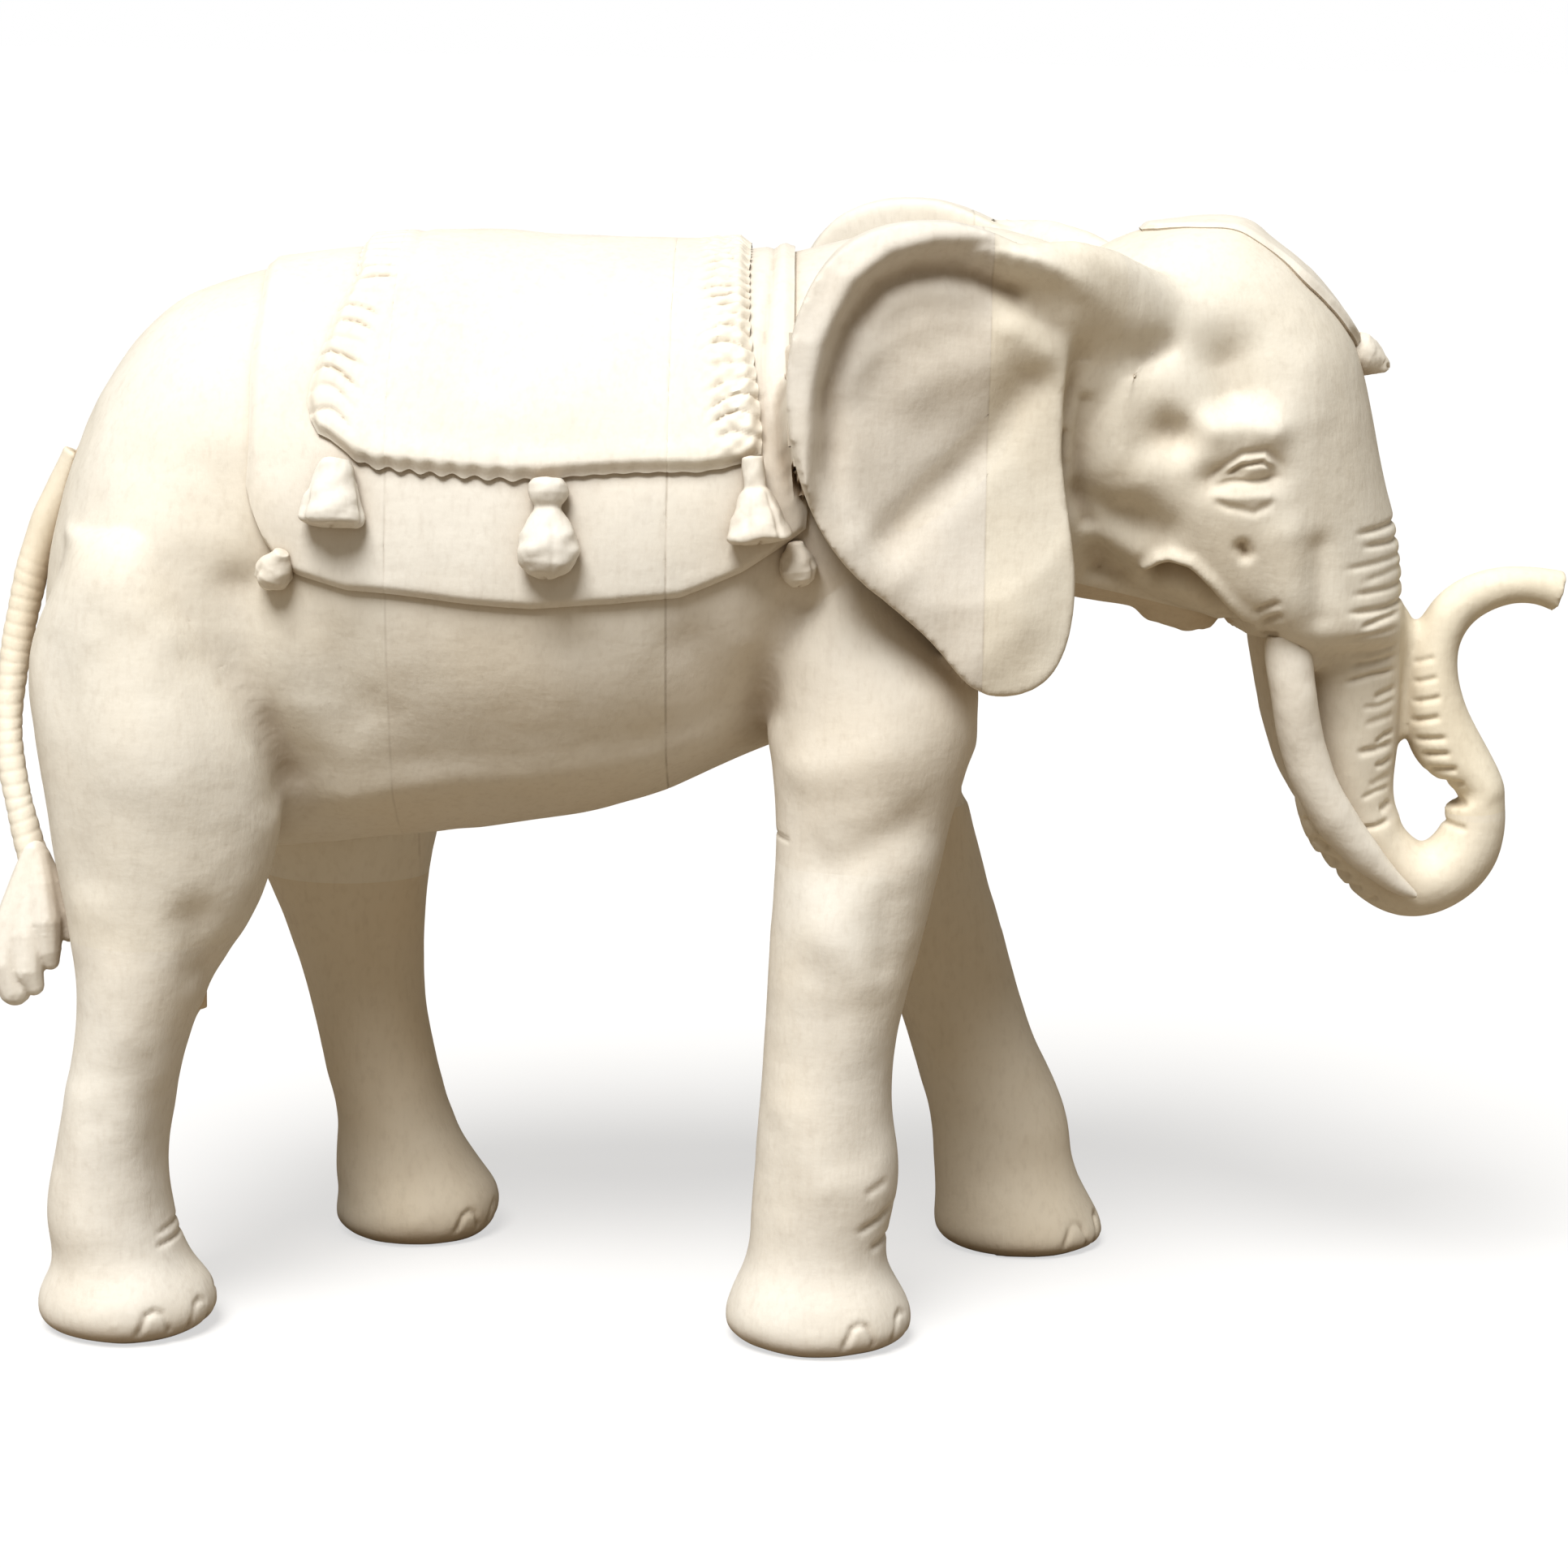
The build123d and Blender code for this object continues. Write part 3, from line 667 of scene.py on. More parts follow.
def openGlueLines(piece):  # the edges at a glue line are worn back a little
    place, normal = points(piece), normals(piece)
    for axis, at, depth in ownLines(piece):
        onLine = abs(place[:, axis] - at) < 0.02
        way = normal[onLine].copy()
        way[:, axis] = 0
        way /= np.maximum(np.linalg.norm(way, axis=1, keepdims=True), 1e-6)
        place[onLine] -= way * depth
    movePoints(piece, place)


def shadedAcrossCuts(piece):  # the surface keeps the shading that it had before it was cut
    carried = floats(piece.data.attributes["carvedNormal"].data, "vector", 3)
    sunken = floats(piece.data.attributes["recess"].data, "value", 1)[:, 0]
    place = points(piece)
    lost = np.linalg.norm(carried, axis=1) < 0.5
    for axis, at, _ in glueLines:
        lost |= abs(place[:, axis] - at) < 0.02
    a, b = edgeEnds(piece)
    known = (~lost).astype(float)
    for _ in range(3):  # new points at a cut take after their neighbours
        weight = neighbourSum(known, a, b)
        filled = lost & (weight > 0) & (known == 0)
        for column in (carried[:, 0], carried[:, 1], carried[:, 2], sunken):
            column[filled] = neighbourSum(column * known, a, b)[filled] / weight[filled]
        known[filled] = 1
    carried /= np.maximum(np.linalg.norm(carried, axis=1, keepdims=True), 1e-6)
    floatAttribute(piece, "recess", sunken)
    onlyThis(piece)
    bpy.ops.object.shade_smooth()
    piece.data.normals_split_custom_set_from_vertices(carried)
    piece.data.attributes.remove(piece.data.attributes["carvedNormal"])


for node, piece in pieces.items():
    openGlueLines(piece)
    shadedAcrossCuts(piece)
    print("piece", node, len(piece.data.polygons), "faces")


# Carved cloths, laid over the body. The grid runs in x from the rear edge to the front edge, and round the
# body from hem to hem.
def flatGrid(name, cloth):
    across, down = cloth["lengthwise"], cloth["around"]
    bpy.ops.mesh.primitive_grid_add(x_subdivisions=across, y_subdivisions=down, size=2)
    obj = bpy.context.object
    obj.name = name
    return obj


def drapedOver(name, cloth, tree, relief):
    obj = flatGrid(name, cloth)
    grid = points(obj) * mm
    s, t = (grid[:, 0] + 1) / 2, grid[:, 1]
    angle = (1 - abs(t)) * math.pi / 2
    guessZ = cloth["hem"][0][1] + cloth["rise"] * np.sin(angle)
    edges = []
    for side in ("rear", "front"):
        line = sorted(cloth[side], key=lambda p: p[1])
        edges.append(np.interp(guessZ, [p[1] for p in line], [p[0] for p in line]))
    x = edges[0] + s * (edges[1] - edges[0])
    fromRear, fromFront = x - edges[0], edges[1] - x
    fromHem = (1 - abs(t)) * cloth["arc"]
    hemZ = np.interp(x, [p[0] for p in cloth["hem"]], [p[1] for p in cloth["hem"]])
    height, edgeShift, hemShift = relief(x, fromRear, fromFront, fromHem)
    x = x + edgeShift
    hemZ = hemZ + hemShift
    way = np.stack([np.zeros(len(x)), np.where(t < 0, -1.0, 1.0) * np.cos(angle), np.sin(angle)], axis=1)
    hit, out = np.empty((len(x), 3)), np.empty((len(x), 3))
    for k in range(len(x)):
        centre = Vector((x[k], 0, hemZ[k])) * mm
        found, normal, _, _ = tree.ray_cast(centre + Vector(way[k]) * 0.14, -Vector(way[k]))
        hit[k], out[k] = found / mm, normal
    for i in range(3):
        out[:, i] = blurred(obj, out[:, i], 40)
        calmed = blurred(obj, hit[:, i], 10)
        inside = np.minimum(np.minimum(fromRear, fromFront), fromHem) > 2
        hit[inside, i] = calmed[inside]
    out /= np.linalg.norm(out, axis=1, keepdims=True)
    movePoints(obj, hit + out * height[:, None])
    recess(obj, (3, 14))
    applied(obj, "SOLIDIFY", thickness=(cloth["thickness"] + 0.8) * mm, offset=-1.0)
    return obj


def lip(edge, rolled, low):  # how much of its height a cloth keeps near an edge
    return low + (1 - low) * eased(0, rolled, edge)


saddlecloth = {
    "rear": [(-128.6, 180), (-128.6, 290)],
    "front": [(4.5, 180), (4.5, 208), (5, 218), (3.5, 232), (2.5, 248), (1.5, 262), (1.5, 290)],
    "hem": [(-128.6, 213), (-127, 207.5), (-124.5, 201.5), (-121, 196.5), (-116, 193), (-104, 189.5),
            (-79, 187.5), (-60, 186.5), (-41, 187.5), (-25, 189.5), (-10, 196), (1, 203), (5, 206)],
    "rise": 70, "arc": 110, "thickness": 2.6, "lengthwise": 150, "around": 250,
}


def saddleclothRelief(x, fromRear, fromFront, fromHem):
    edge = np.minimum(np.minimum(fromRear, fromFront), fromHem)
    height = saddlecloth["thickness"] * lip(edge, 2.2, 0.55)
    height += 0.15 * np.exp(-((edge - 3.4) / 2.4) ** 2)  # a slightly raised border
    fold = np.exp(-((fromFront - 6.5 - 1.5 * np.sin(fromHem / 22)) / 1.1) ** 2) * eased(24, 34, fromHem)
    height -= 0.9 * fold  # crease beside the ear
    return height, 0.35 * np.sin(fromHem / 9) * np.exp(-fromRear / 3), 0.3 * np.sin(x / 8.5)


blanket = {
    "rear": [(-97, 217.5), (-103, 220.5), (-109.5, 224), (-113, 229), (-114, 235), (-112, 246), (-109, 261),
             (-105, 274)],
    "front": [(-9, 217.5), (-6.5, 222), (-6, 229), (-7, 242), (-9, 257), (-9.5, 273)],
    "hem": [(-114, 226), (-108, 223.5), (-103, 220), (-98, 218), (-80, 217.2), (-58, 216.3), (-36, 217.8),
            (-20, 218.8), (-12, 220.5), (-6, 223)],
    "rise": 57, "arc": 90, "thickness": 5.8, "lengthwise": 170, "around": 300,
    "fringe": 13.0,  # width of the knotted border at each end
}


# Crescent gouges one under another along an end of the blanket.
def strands(fromEdge, fromHem, pitch, bow, width, lean):
    wobble = 1.6 * np.sin(fromHem / 13 + lean) + 0.7 * np.sin(fromHem / 5.3 + 2 * lean)
    wobble = wobble + 0.6 * np.sin(fromEdge / 3 + fromHem / 4)
    row = (fromHem - bow * np.sin(math.pi * np.clip(fromEdge / width, 0, 1)) + wobble) / pitch
    phase = row - np.floor(row)
    patchy = 0.65 + 0.35 * np.sin(fromHem / 2.9 + 1.7 * lean)
    gouge = patchy * (np.exp(-((phase - 0.14) / 0.085) ** 2) + np.exp(-((phase - 1.14) / 0.085) ** 2))
    swell = np.sin(math.pi * np.clip((phase - 0.12) / 1.0, 0, 1))
    return gouge, swell


def blanketRelief(x, fromRear, fromFront, fromHem):
    edge = np.minimum(np.minimum(fromRear, fromFront), fromHem)
    height = blanket["thickness"] * lip(edge, 2.6, 0.62)
    band = blanket["fringe"]
    rearMask = (1 - eased(band * 0.55, band, fromRear)) * eased(1.5, 5, fromHem)
    rearMask *= 0.45 + 0.55 * eased(0, 3, fromRear)
    gouge, swell = strands(fromRear, fromHem, 5.6, 2.6, band, 0.4)
    height += rearMask * (0.30 * swell - 0.80 * gouge - 0.35)
    shift = -0.35 * (swell - 0.5) * np.exp(-fromRear / 3.0) * eased(2, 6, fromHem)
    frontMask = (1 - eased(band * 0.6, band * 1.1, fromFront)) * eased(1.0, 4, fromHem)
    gouge, swell = strands(fromFront, fromHem, 4.5, 2.2, band, 1.9)
    knot = np.sin(fromFront * 1.15 + 1.3 * np.sin(fromHem / 3.1))
    knot = knot * np.sin(fromHem * 1.4 + 0.8 * np.sin(fromFront / 2))
    height += frontMask * (0.35 * swell - 0.75 * gouge + 0.38 * knot - 0.15)
    shift += 0.4 * (swell - 0.4) * np.exp(-fromFront / 2.6) * eased(2, 6, fromHem)
    height -= 0.5 * np.exp(-((fromRear - band - 1) / 1.5) ** 2) * eased(10, 30, fromHem)
    rope = np.exp(-((fromHem - 3.2) / 3.4) ** 2) * eased(4, 10, np.minimum(fromRear, fromFront))
    scallop = 0.5 + 0.5 * np.cos(2 * math.pi * (x + 97 + 0.7 * np.sin(x / 7)) / 5.4)
    scalloped = eased(-106, -100, x) * (1 - 0.75 * eased(-66, -54, x))
    height += rope * (0.45 + 0.30 * scalloped * scallop)
    hemShift = -1.0 * scalloped * scallop * np.exp(-fromHem / 3.0) + 0.3 * np.sin(x / 9)
    return height, shift, hemShift


def partCloth(obj, name):  # a cloth is cut where the blocks under it are glued
    front = takeOut(obj, name + "_front_carved", block((girthSeam, -150, 50), (250, 150, 350)))
    middle = takeOut(obj, name + "_middle_carved", block((rumpSeam, -150, 50), (250, 150, 350)))
    obj.name = name + "_rear_carved"
    for node, piece in ((name + "_rear", obj), (name + "_middle", middle), (name + "_front", front)):
        openGlueLines(piece)
        clothPieces[node] = piece


clothPieces = {}
saddleclothCarved = drapedOver("saddlecloth", saddlecloth, bodyTree, saddleclothRelief)
saddleclothTree = BVHTree.FromObject(saddleclothCarved, bpy.context.evaluated_depsgraph_get())
blanketCarved = drapedOver("blanket", blanket, bodyTree, blanketRelief)
partCloth(saddleclothCarved, "saddlecloth")
partCloth(blanketCarved, "blanket")
print("saddlecloth and blanket carved")

headCloth = {  # edge: x and half width; thinner: how much of the thickness is left at x
    "edge": [(87, 4), (90, 9), (94, 12), (101, 14), (110, 15.5), (120, 16), (129, 14.5), (136, 10.5), (141, 4)],
    "thinner": [(87, 0.8), (97, 0.4), (113, 0.4), (123, 1.0)],
    "thickness": 1.7, "lengthwise": 90, "around": 60,
}


def layHeadCloth():
    obj = flatGrid("head_cloth_carved", headCloth)
    grid = points(obj) * mm
    edge = headCloth["edge"]
    x = edge[0][0] + (grid[:, 0] + 1) / 2 * (edge[-1][0] - edge[0][0])
    half = np.interp(x, [p[0] for p in edge], [p[1] for p in edge])
    half = half + 0.5 * np.sin(x / 3.7) + 0.3 * np.sin(x / 1.9)
    y = grid[:, 1] * half
    tiltBy = np.radians(np.interp(x, [86, 105, 141], [0, 12, 42]))
    hit, out = np.empty((len(x), 3)), np.empty((len(x), 3))
    for k in range(len(x)):
        up = Vector((math.sin(tiltBy[k]), 0, math.cos(tiltBy[k])))
        aim = Vector((x[k], y[k], 262 - 0.006 * (x[k] - 90) ** 2)) * mm
        found, normal, _, _ = headTree.ray_cast(aim + up * 0.08, -up)
        hit[k], out[k] = found / mm, normal
    for i in range(3):
        out[:, i] = blurred(obj, out[:, i], 20)
    out /= np.linalg.norm(out, axis=1, keepdims=True)
    ends = np.minimum(x - edge[0][0], edge[-1][0] - x)
    rim = np.minimum(half - abs(y), ends)
    height = headCloth["thickness"] * lip(rim, 1.6, 0.45) + 0.5 * np.exp(-((rim - 2.4) / 1.2) ** 2)
    height *= np.interp(x, [p[0] for p in headCloth["thinner"]], [p[1] for p in headCloth["thinner"]])
    movePoints(obj, hit + out * height[:, None])
    recess(obj, (3, 10))
    applied(obj, "SOLIDIFY", thickness=(headCloth["thickness"] + 0.8) * mm, offset=-1.0)
    return obj


clothPieces["head_cloth"] = layHeadCloth()
print("head cloth carved")


# Tassels and drops: a ball shaped to a profile of (radius, distance down), with folds pressed into it.
tassels = {
    "bell": {
        "profile": [(0, 0), (3.4, 0.2), (4.2, 1.6), (4.8, 4), (5.8, 7), (7.0, 10), (7.9, 13.2), (7.8, 15.0),
                    (6.8, 15.9), (3, 16.1), (0, 16.2)],
        "folds": 3, "foldDepth": 0.17, "flatten": 0.9,
    },
    "pear": {
        "profile": [(0, 0), (3.4, 0.2), (4.6, 1.6), (4.9, 3.6), (4.2, 5.4), (3.1, 6.8), (3.2, 7.6),
                    (4.9, 10.0), (6.9, 13.6), (7.7, 17.2), (7.1, 20.4), (4.9, 22.8), (2, 23.8), (0, 24)],
        "folds": 3, "foldDepth": 0.07, "flatten": 0.9,
    },
    "wedge": {
        "profile": [(0, 0), (2.6, 0.2), (2.8, 4), (2.6, 7.6), (3.8, 8.6), (4.6, 10.4), (6.2, 14.6),
                    (7.9, 19.2), (7.6, 20.2), (4, 20.5), (0, 20.6)],
        "folds": 4, "foldDepth": 0.10, "flatten": 0.85,
    },
    "drop": {
        "profile": [(0, 0), (1.8, 0.2), (2.4, 1.6), (3.9, 4), (4.7, 6.6), (4.2, 8.8), (2.4, 10.6), (0, 11.2)],
        "folds": 3, "foldDepth": 0.14, "flatten": 0.95,
    },
    "bud": {
        "profile": [(0, 0), (5.0, 0.2), (5.5, 2.4), (5.0, 4.8), (3.8, 6.8), (2.5, 8.6), (1.7, 10.0), (0, 10.8)],
        "folds": 3, "foldDepth": 0.05, "flatten": 1.0,
    },
}
hung = {  # node: kind, x, top, lean in degrees (towards the rear), turn of its folds
    "blanket_tassel_right_rear": ("bell", -106.5, 221, 4, 0.2),
    "blanket_tassel_right_middle": ("pear", -56, 218, 0, 1.1),
    "blanket_tassel_right_front": ("wedge", -8, 223.5, -6, 0.7),
    "saddlecloth_tassel_right_rear": ("drop", -119.5, 198.5, 24, 0.0),
    "saddlecloth_tassel_right_front": ("drop", 2.5, 203, -6, 0.5),
}
budPlace = {"at": (140.6, 0, 246.2), "turn": -66}


def shapedTassel(name, kind, turn):
    look = tassels[kind]
    bpy.ops.mesh.primitive_uv_sphere_add(segments=96, ring_count=72, radius=1)
    obj = bpy.context.object
    obj.name = name
    unit = points(obj) * mm
    profile = np.array(look["profile"], float)
    lengths = np.concatenate([[0], np.cumsum(np.linalg.norm(np.diff(profile, axis=0), axis=1))])
    v = np.arccos(np.clip(unit[:, 2], -1, 1)) / math.pi * lengths[-1]
    radius, down = np.interp(v, lengths, profile[:, 0]), np.interp(v, lengths, profile[:, 1])
    around = np.arctan2(unit[:, 1], unit[:, 0]) + turn
    low = eased(0.3, 0.65, down / profile[-1, 1])
    uneven = around + 0.35 * np.sin(around * 2 + turn)
    fold = np.exp(-((np.sin(look["folds"] * uneven / 2)) / 0.28) ** 2)
    radius = radius * (1 - look["foldDepth"] * low * fold + 0.03 * np.sin(3 * around + down))
    down = down + 0.35 * low * np.sin(look["folds"] * around + 1) * (down > profile[-1, 1] * 0.8)
    angle = around - turn
    place = np.stack([radius * np.cos(angle), radius * np.sin(angle) * look["flatten"], -down], axis=1)
    movePoints(obj, place)
    for i in range(3):
        place[:, i] = blurred(obj, place[:, i], 3)
    place += normals(obj) * (0.14 * noise(place + 50, 2.4, 5) + 0.06 * noise(place + 50, 1.1, 6))[:, None]
    movePoints(obj, place)
    recess(obj, (3, 16))
    return obj


def surfaceAt(tree, x, z):  # y of the right side at x and z
    found = tree.ray_cast(Vector((x, -150, z)) * mm, Vector((0, 1, 0)))[0]
    return None if found is None else found[1] / mm


tasselPieces = {}
for node, (kind, x, top, lean, turn) in hung.items():
    piece = shapedTassel(node + "_carved", kind, turn)
    reach = tassels[kind]["profile"][-1][1]
    sides = []
    for z in (top - reach * 0.15, top - reach * 0.75):
        onCloth = surfaceAt(saddleclothTree, x, z) if z > 190 else None
        sides.append(surfaceAt(bodyTree, x, z) if onCloth is None else onCloth)
    slope = math.degrees(math.atan2(sides[1] - sides[0], reach * 0.6))
    leaning = Matrix.Rotation(math.radians(lean), 4, "Y") @ Matrix.Rotation(math.radians(slope), 4, "X")
    piece.data.transform(leaning)
    thick = max(p[0] for p in tassels[kind]["profile"]) * tassels[kind]["flatten"]
    piece.data.transform(Matrix.Translation(Vector((x, sides[0] - thick * 0.42, top)) * mm))
    twin = bpy.data.objects.new(node.replace("right", "left") + "_carved", piece.data.copy())
    bpy.context.scene.collection.objects.link(twin)
    twin.data.transform(Matrix.Diagonal((1, -1, 1, 1)))
    twin.data.flip_normals()
    tasselPieces[node] = piece
    tasselPieces[node.replace("right", "left")] = twin
bud = shapedTassel("brow_tassel_carved", "bud", 0.3)
budTurn = Matrix.Rotation(math.radians(budPlace["turn"]), 4, "Y")
bud.data.transform(Matrix.Translation(Vector(budPlace["at"]) * mm) @ budTurn)
tasselPieces["brow_tassel"] = bud
print("tassels carved")


# Tail with its rings, and the tuft's strands.
tail = {
    "line": [(-184, 196), (-190.5, 181), (-194.5, 163), (-194.5, 147), (-191.5, 130), (-185.5, 115)],
    "grain": 0.5, "pitch": 3.2, "ring": 0.16,
}
tailPiece = copyNodes("tail_carved", ["tail"])
remeshed(tailPiece, tail["grain"], 8)
place = points(tailPiece)
_, share = along(tail["line"], place[:, [0, 2]])
tailLength = sum(math.dist(a, b) for a, b in zip(tail["line"][:-1], tail["line"][1:]))
turns = (share * tailLength + 0.5 * noise(place, 9, 4)) / tail["pitch"]
ring = (0.5 + 0.5 * np.cos(2 * math.pi * turns)) ** 3
ring *= eased(0.05, 0.2, share) * (1 - eased(0.93, 1, share))
movePoints(tailPiece, place - normals(tailPiece) * (tail["ring"] * ring - 0.25 * noise(place, 8, 3))[:, None])
recess(tailPiece, (4, 20))

tuftStrands = [
    [(-185, -31, 118, 3.4), (-187, -32, 110, 4.6), (-190, -34, 100, 5.2), (-191.6, -36, 91, 5.2),
     (-189.5, -37, 84.5, 4.2)],
    [(-184.5, -31.5, 117, 3.2), (-185, -33.5, 108, 4.2), (-186.2, -36, 98, 4.8), (-186, -38, 90, 4.0),
     (-184.6, -38, 86, 2.8)],
    [(-184, -31.5, 117, 3.2), (-182.6, -34, 110, 4.0), (-181.4, -36.5, 102, 4.2), (-181, -37, 95, 3.4),
     (-180.5, -37, 92, 2.4)],
    [(-183.5, -31, 116, 3.0), (-180.8, -32.5, 110, 3.6), (-178, -33.5, 103.5, 3.4), (-176.2, -34, 98.5, 2.4)],
]
tuftPiece = joined(*[beads("strand", strand, 1.2) for strand in tuftStrands])
tuftPiece.name = "tail_tuft_carved"
remeshed(tuftPiece, 0.45, 5)
tuft = Clay(tuftPiece)
for strand in tuftStrands:
    for aside in (-1.3, 1.5):
        line = [(x + aside, z) for x, _, z, _ in strand[1:]]
        tuft.cut(line, 0.9, 0.45, facing=None, side="right", fade=0.3)
tuft.look()
recess(tuftPiece, (4, 20))

# Tusks, pared smooth with faint flats.
tuskPieces = {}
for hand in ("right", "left"):
    tusk = copyNodes(f"tusk_{hand}_carved", [f"tusk_{hand}"])
    remeshed(tusk, 0.5, 10)
    place = points(tusk)
    movePoints(tusk, place + normals(tusk) * (0.3 * noise(place, 9, 7) + 0.1 * noise(place, 4, 8))[:, None])
    recess(tusk, (5, 25))
    tuskPieces[f"tusk_{hand}"] = tusk
print("tail, tuft and tusks carved")


# Pale wood: long upright grain, blotches, rasp marks, brown along the glue lines, and painted shade with some
# dust in the recesses and corners.
wood = {
    "pale": (0.905, 0.870, 0.790), "warm": (0.885, 0.825, 0.715), "cool": (0.850, 0.825, 0.775),
    # recess: the brown of grain streaks, and of the painted shade in recesses and corners
    "recess": (0.300, 0.205, 0.115), "glue": (0.20, 0.135, 0.075),
    "recessFrom": 0.10, "recessTo": 3.6, "recessMost": 0.72, "cornerShadeReach": 0.011, "cornerShadeMost": 0.62,
    "roughness": (0.52, 0.72), "bump": 0.22,
}


def woodFinish(name, tint=(1.0, 1.0, 1.0), glue=()):
    paint = bpy.data.materials.new(name)
    paint.use_nodes = True
    nodes, links = paint.node_tree.nodes, paint.node_tree.links
    shader = nodes["Principled BSDF"]
    shader.inputs["Specular IOR Level"].default_value = 0.3
    where = nodes.new("ShaderNodeTexCoord").outputs["Object"]

    def pattern(scale, detail=3.0, stretch=(1, 1, 1), rough=0.5):
        mapping = nodes.new("ShaderNodeMapping")
        mapping.inputs["Scale"].default_value = [scale * k for k in stretch]
        links.new(where, mapping.inputs["Vector"])
        texture = nodes.new("ShaderNodeTexNoise")
        texture.inputs["Scale"].default_value = 1.0
        texture.inputs["Detail"].default_value = detail
        texture.inputs["Roughness"].default_value = rough
        links.new(mapping.outputs[0], texture.inputs["Vector"])
        return texture.outputs[0]

    def spread(value, low, high, newLow=0.0, newHigh=1.0):
        node = nodes.new("ShaderNodeMapRange")
        for key, number in (("From Min", low), ("From Max", high), ("To Min", newLow), ("To Max", newHigh)):
            node.inputs[key].default_value = number
        links.new(value, node.inputs["Value"])
        return node.outputs[0]

    def math2(kind, a, b):
        node = nodes.new("ShaderNodeMath")
        node.operation = kind
        for socket, given in zip(node.inputs, (a, b)):
            if isinstance(given, (int, float)):
                socket.default_value = given
            else:
                links.new(given, socket)
        return node.outputs[0]

    def mixed(amount, a, b):
        node = nodes.new("ShaderNodeMix")
        node.data_type = "RGBA"
        links.new(amount, node.inputs["Factor"])
        for socket, given in ((node.inputs["A"], a), (node.inputs["B"], b)):
            if isinstance(given, tuple):
                socket.default_value = (*[c * t for c, t in zip(given, tint)], 1)
            else:
                links.new(given, socket)
        return node.outputs["Result"]

    blotch = spread(pattern(22, 4), 0.36, 0.66)
    grain = spread(pattern(260, 4, (1, 1, 0.05)), 0.30, 0.72)
    color = mixed(blotch, wood["pale"], wood["warm"])
    color = mixed(spread(pattern(13, 2, (1, 1, 0.6)), 0.50, 0.74, 0, 0.7), color, wood["cool"])
    color = mixed(spread(grain, 0.55, 1.0, 0, 0.05), color, wood["recess"])
    color = mixed(spread(pattern(620, 5, (1, 1, 0.45)), 0.50, 0.74, 0, 0.10), color, wood["recess"])
    # Painted shade, with some dust: the deeper a point lies in a recess, the more of the brown it takes.
    sunken = nodes.new("ShaderNodeAttribute")
    sunken.attribute_name = "recess"
    ragged = math2("MULTIPLY_ADD", spread(pattern(420, 3), 0.25, 0.75, -0.35, 0.35), 0.6)
    links.new(sunken.outputs["Fac"], ragged.node.inputs[2])
    hollowShadeAndDust = spread(ragged, wood["recessFrom"], wood["recessTo"], 0, wood["recessMost"])
    color = mixed(hollowShadeAndDust, color, wood["recess"])
    apart = nodes.new("ShaderNodeSeparateXYZ")
    links.new(where, apart.inputs[0])
    for axis, at, depth in glue:
        gap = math2("ABSOLUTE", math2("SUBTRACT", apart.outputs[axis], float(at) * mm), 0)
        line = spread(gap, 0.00010, 0.00042, min(1.0, 2.6 * depth), 0)
        broken = math2("MULTIPLY", line, spread(pattern(120, 2), 0.38, 0.58, 0.25, 1))
        color = mixed(broken, color, wood["glue"])
    # Painted shade: ambient occlusion browns the corners and the places where parts meet.
    cornerShade = nodes.new("ShaderNodeAmbientOcclusion")
    cornerShade.samples = 6
    cornerShade.inputs["Distance"].default_value = wood["cornerShadeReach"]
    color = mixed(spread(cornerShade.outputs["AO"], 0.25, 0.95, wood["cornerShadeMost"], 0), color, wood["recess"])
    links.new(color, shader.inputs["Base Color"])
    links.new(spread(pattern(70, 3), 0.3, 0.7, *wood["roughness"]), shader.inputs["Roughness"])
    fine = math2("MULTIPLY", pattern(1100, 3, (1, 1, 0.35)), 0.5)
    rasped = math2("MULTIPLY", pattern(330, 3, (0.5, 1, 1)), 0.9)
    fuzz = math2("ADD", fine, rasped)
    height = math2("ADD", fuzz, math2("MULTIPLY", grain, 0.35))
    bump = nodes.new("ShaderNodeBump")
    bump.inputs["Strength"].default_value = wood["bump"]
    bump.inputs["Distance"].default_value = 0.0006
    links.new(height, bump.inputs["Height"])
    links.new(bump.outputs[0], shader.inputs["Normal"])
    return paint


tints = {  # each glued block has its own tone; the lower jaw and the far legs are darker as painted shade
    "rump_block": (1.0, 0.995, 0.975), "loin_block": (0.985, 0.975, 0.955),
    "shoulder_block": (0.975, 0.965, 0.955), "head_block": (1.0, 0.99, 0.955),
    "ear_right_rear": (0.955, 0.95, 0.955), "ear_right_front": (1.0, 0.985, 0.94),
    "trunk_tip": (1.0, 0.97, 0.88), "trunk_bend": (1.0, 0.98, 0.92), "trunk_upper": (0.99, 0.975, 0.93),
    # painted shade: the lower jaw is darker for the shadow under the head
    "lower_jaw": (0.90, 0.83, 0.73), "tail": (1.0, 0.97, 0.9),
    # painted shade: the far (left) legs are darker and browner for the shade under the body
    "hind_leg_left": (0.94, 0.895, 0.82), "fore_leg_left": (0.94, 0.895, 0.82),
    "blanket_rear": (1.03, 1.03, 1.02), "blanket_middle": (1.035, 1.03, 1.02),
    "blanket_front": (1.03, 1.03, 1.01),
}


# camera, floor and light
camera = {"place": (0.9, -1000.0, 325.4), "aim": (0.9, 0.0, 133.0), "lens": 91.46, "roll": 1.05}
bpy.ops.object.camera_add(location=Vector(camera["place"]) * mm)
cam = bpy.context.object
cam.name = "cameraRightSide"
view = (Vector(camera["aim"]) - Vector(camera["place"])).normalized()
cam.rotation_mode = "QUATERNION"
roll = Matrix.Rotation(math.radians(camera["roll"]), 3, "Z").to_quaternion()
cam.rotation_quaternion = view.to_track_quat("-Z", "Y") @ roll
cam.data.lens = camera["lens"]
cam.data.sensor_width = 36
cam.data.clip_start = 0.01
bpy.context.scene.camera = cam

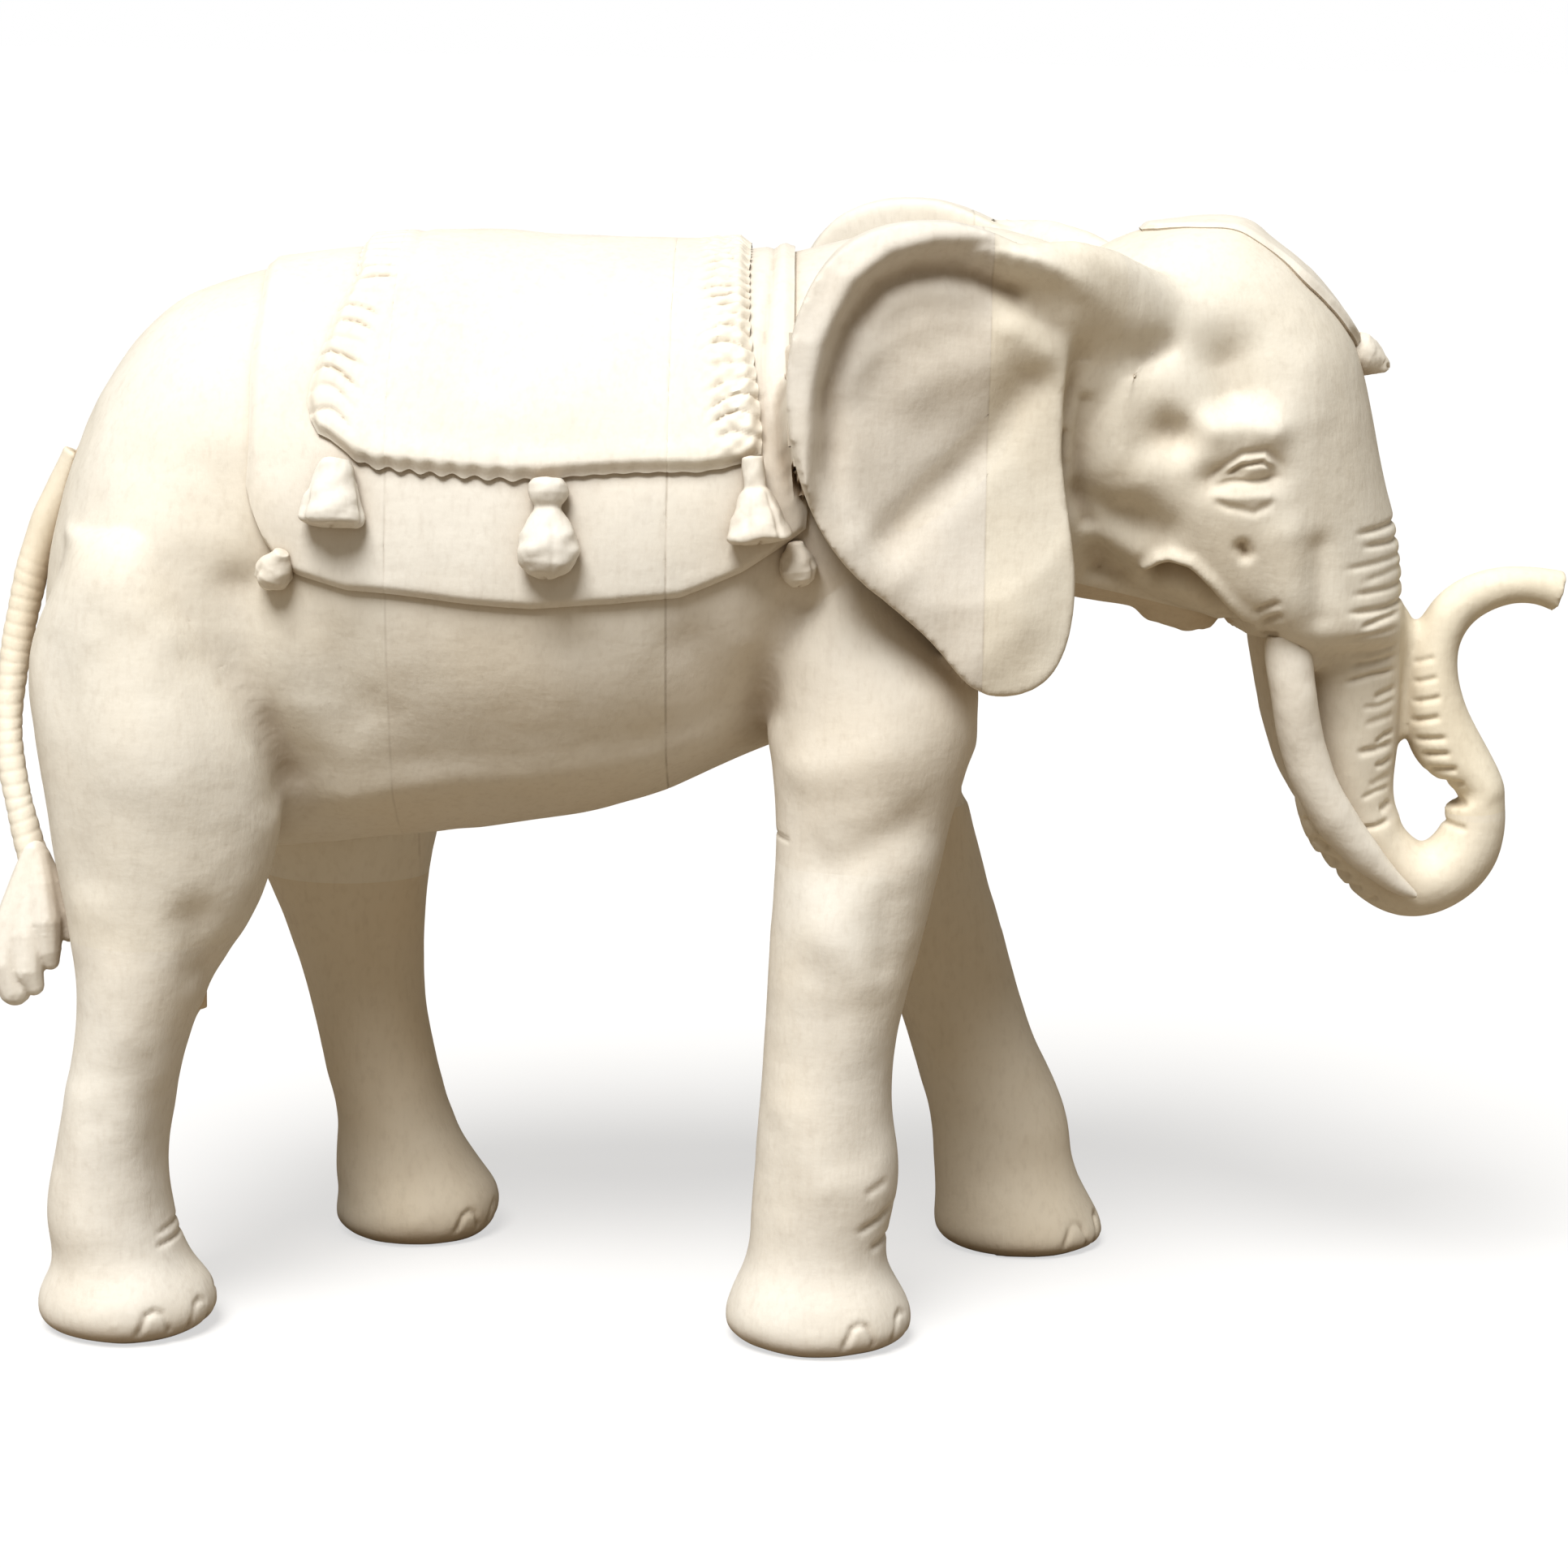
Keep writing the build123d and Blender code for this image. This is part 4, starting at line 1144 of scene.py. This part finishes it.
# A pale floor that runs out to a white room, and soft light from above.
bpy.ops.mesh.primitive_plane_add(size=60, location=(0, 0, 0))
floor = bpy.context.object
floor.name = "floor"
floorPaint = bpy.data.materials.new("floorPaint")
floorPaint.use_nodes = True
nodes, links = floorPaint.node_tree.nodes, floorPaint.node_tree.links
floorSeen = nodes["Principled BSDF"]
floorSeen.inputs["Base Color"].default_value = (0.93, 0.925, 0.915, 1)
floorSeen.inputs["Roughness"].default_value = 0.9
floorBounce = nodes.new("ShaderNodeBsdfDiffuse")
floorBounce.inputs["Color"].default_value = (0.26, 0.21, 0.15, 1)
floorMix = nodes.new("ShaderNodeMixShader")
links.new(nodes.new("ShaderNodeLightPath").outputs["Is Camera Ray"], floorMix.inputs["Fac"])
links.new(floorBounce.outputs[0], floorMix.inputs[1])
floorGlow = nodes.new("ShaderNodeEmission")
floorPale = nodes.new("ShaderNodeMixShader")
floorPale.inputs["Fac"].default_value = 0.62
links.new(floorSeen.outputs[0], floorPale.inputs[1])
links.new(floorGlow.outputs[0], floorPale.inputs[2])
links.new(floorPale.outputs[0], floorMix.inputs[2])
links.new(floorMix.outputs[0], nodes["Material Output"].inputs["Surface"])
floor.data.materials.append(floorPaint)

sun = {"from": (-0.35, -0.95, 1.6), "strength": 4.0, "angle": 30, "color": (1.0, 0.99, 0.97)}
bpy.ops.object.light_add(type="SUN", location=(0, 0, 2))
light = bpy.context.object
light.name = "softSun"
light.data.energy = sun["strength"]
light.data.angle = math.radians(sun["angle"])
light.data.color = sun["color"]
light.rotation_mode = "QUATERNION"
light.rotation_quaternion = (-Vector(sun["from"])).to_track_quat("-Z", "Y")
world = bpy.data.worlds.new("room")
world.use_nodes = True
nodes, links = world.node_tree.nodes, world.node_tree.links
dim, seenWhite = nodes["Background"], nodes.new("ShaderNodeBackground")
dim.inputs["Color"].default_value = (1.0, 0.92, 0.80, 1)
dim.inputs["Strength"].default_value = 0.19
seenWhite.inputs["Color"].default_value = (1, 1, 1, 1)
mixer = nodes.new("ShaderNodeMixShader")
links.new(nodes.new("ShaderNodeLightPath").outputs["Is Camera Ray"], mixer.inputs["Fac"])
links.new(dim.outputs[0], mixer.inputs[1])
links.new(seenWhite.outputs[0], mixer.inputs[2])
links.new(mixer.outputs[0], nodes["World Output"].inputs["Surface"])
bpy.context.scene.world = world
bpy.context.scene.view_settings.view_transform = "Standard"

# Hand over: each carved piece stands for its CAD node.
tailPieces = {"tail": tailPiece, "tail_tuft": tuftPiece}
finished = [(pieces, "wood"), (clothPieces, "cloth"), (tasselPieces, "tassel"), (tuskPieces, "tusk"),
            (tailPieces, "wood")]
for group, slot in finished:
    for node, piece in group.items():
        piece.data.materials.clear()
        lines = () if node.startswith("blanket_") else ownLines(piece)
        piece.data.materials.append(woodFinish(node + "Wood", tints.get(node, (1, 1, 1)), glue=lines))
        if group is not pieces:
            onlyThis(piece)
            bpy.ops.object.shade_smooth_by_angle(angle=math.radians(50))
        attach(piece, "root")
        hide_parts(node)
dowelPaint = woodFinish("dowelWood", (0.9, 0.78, 0.62))
for node in ("leg_dowels", "peg_dowels"):
    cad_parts[node].data.materials.clear()
    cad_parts[node].data.materials.append(dowelPaint)
print("finishes on")
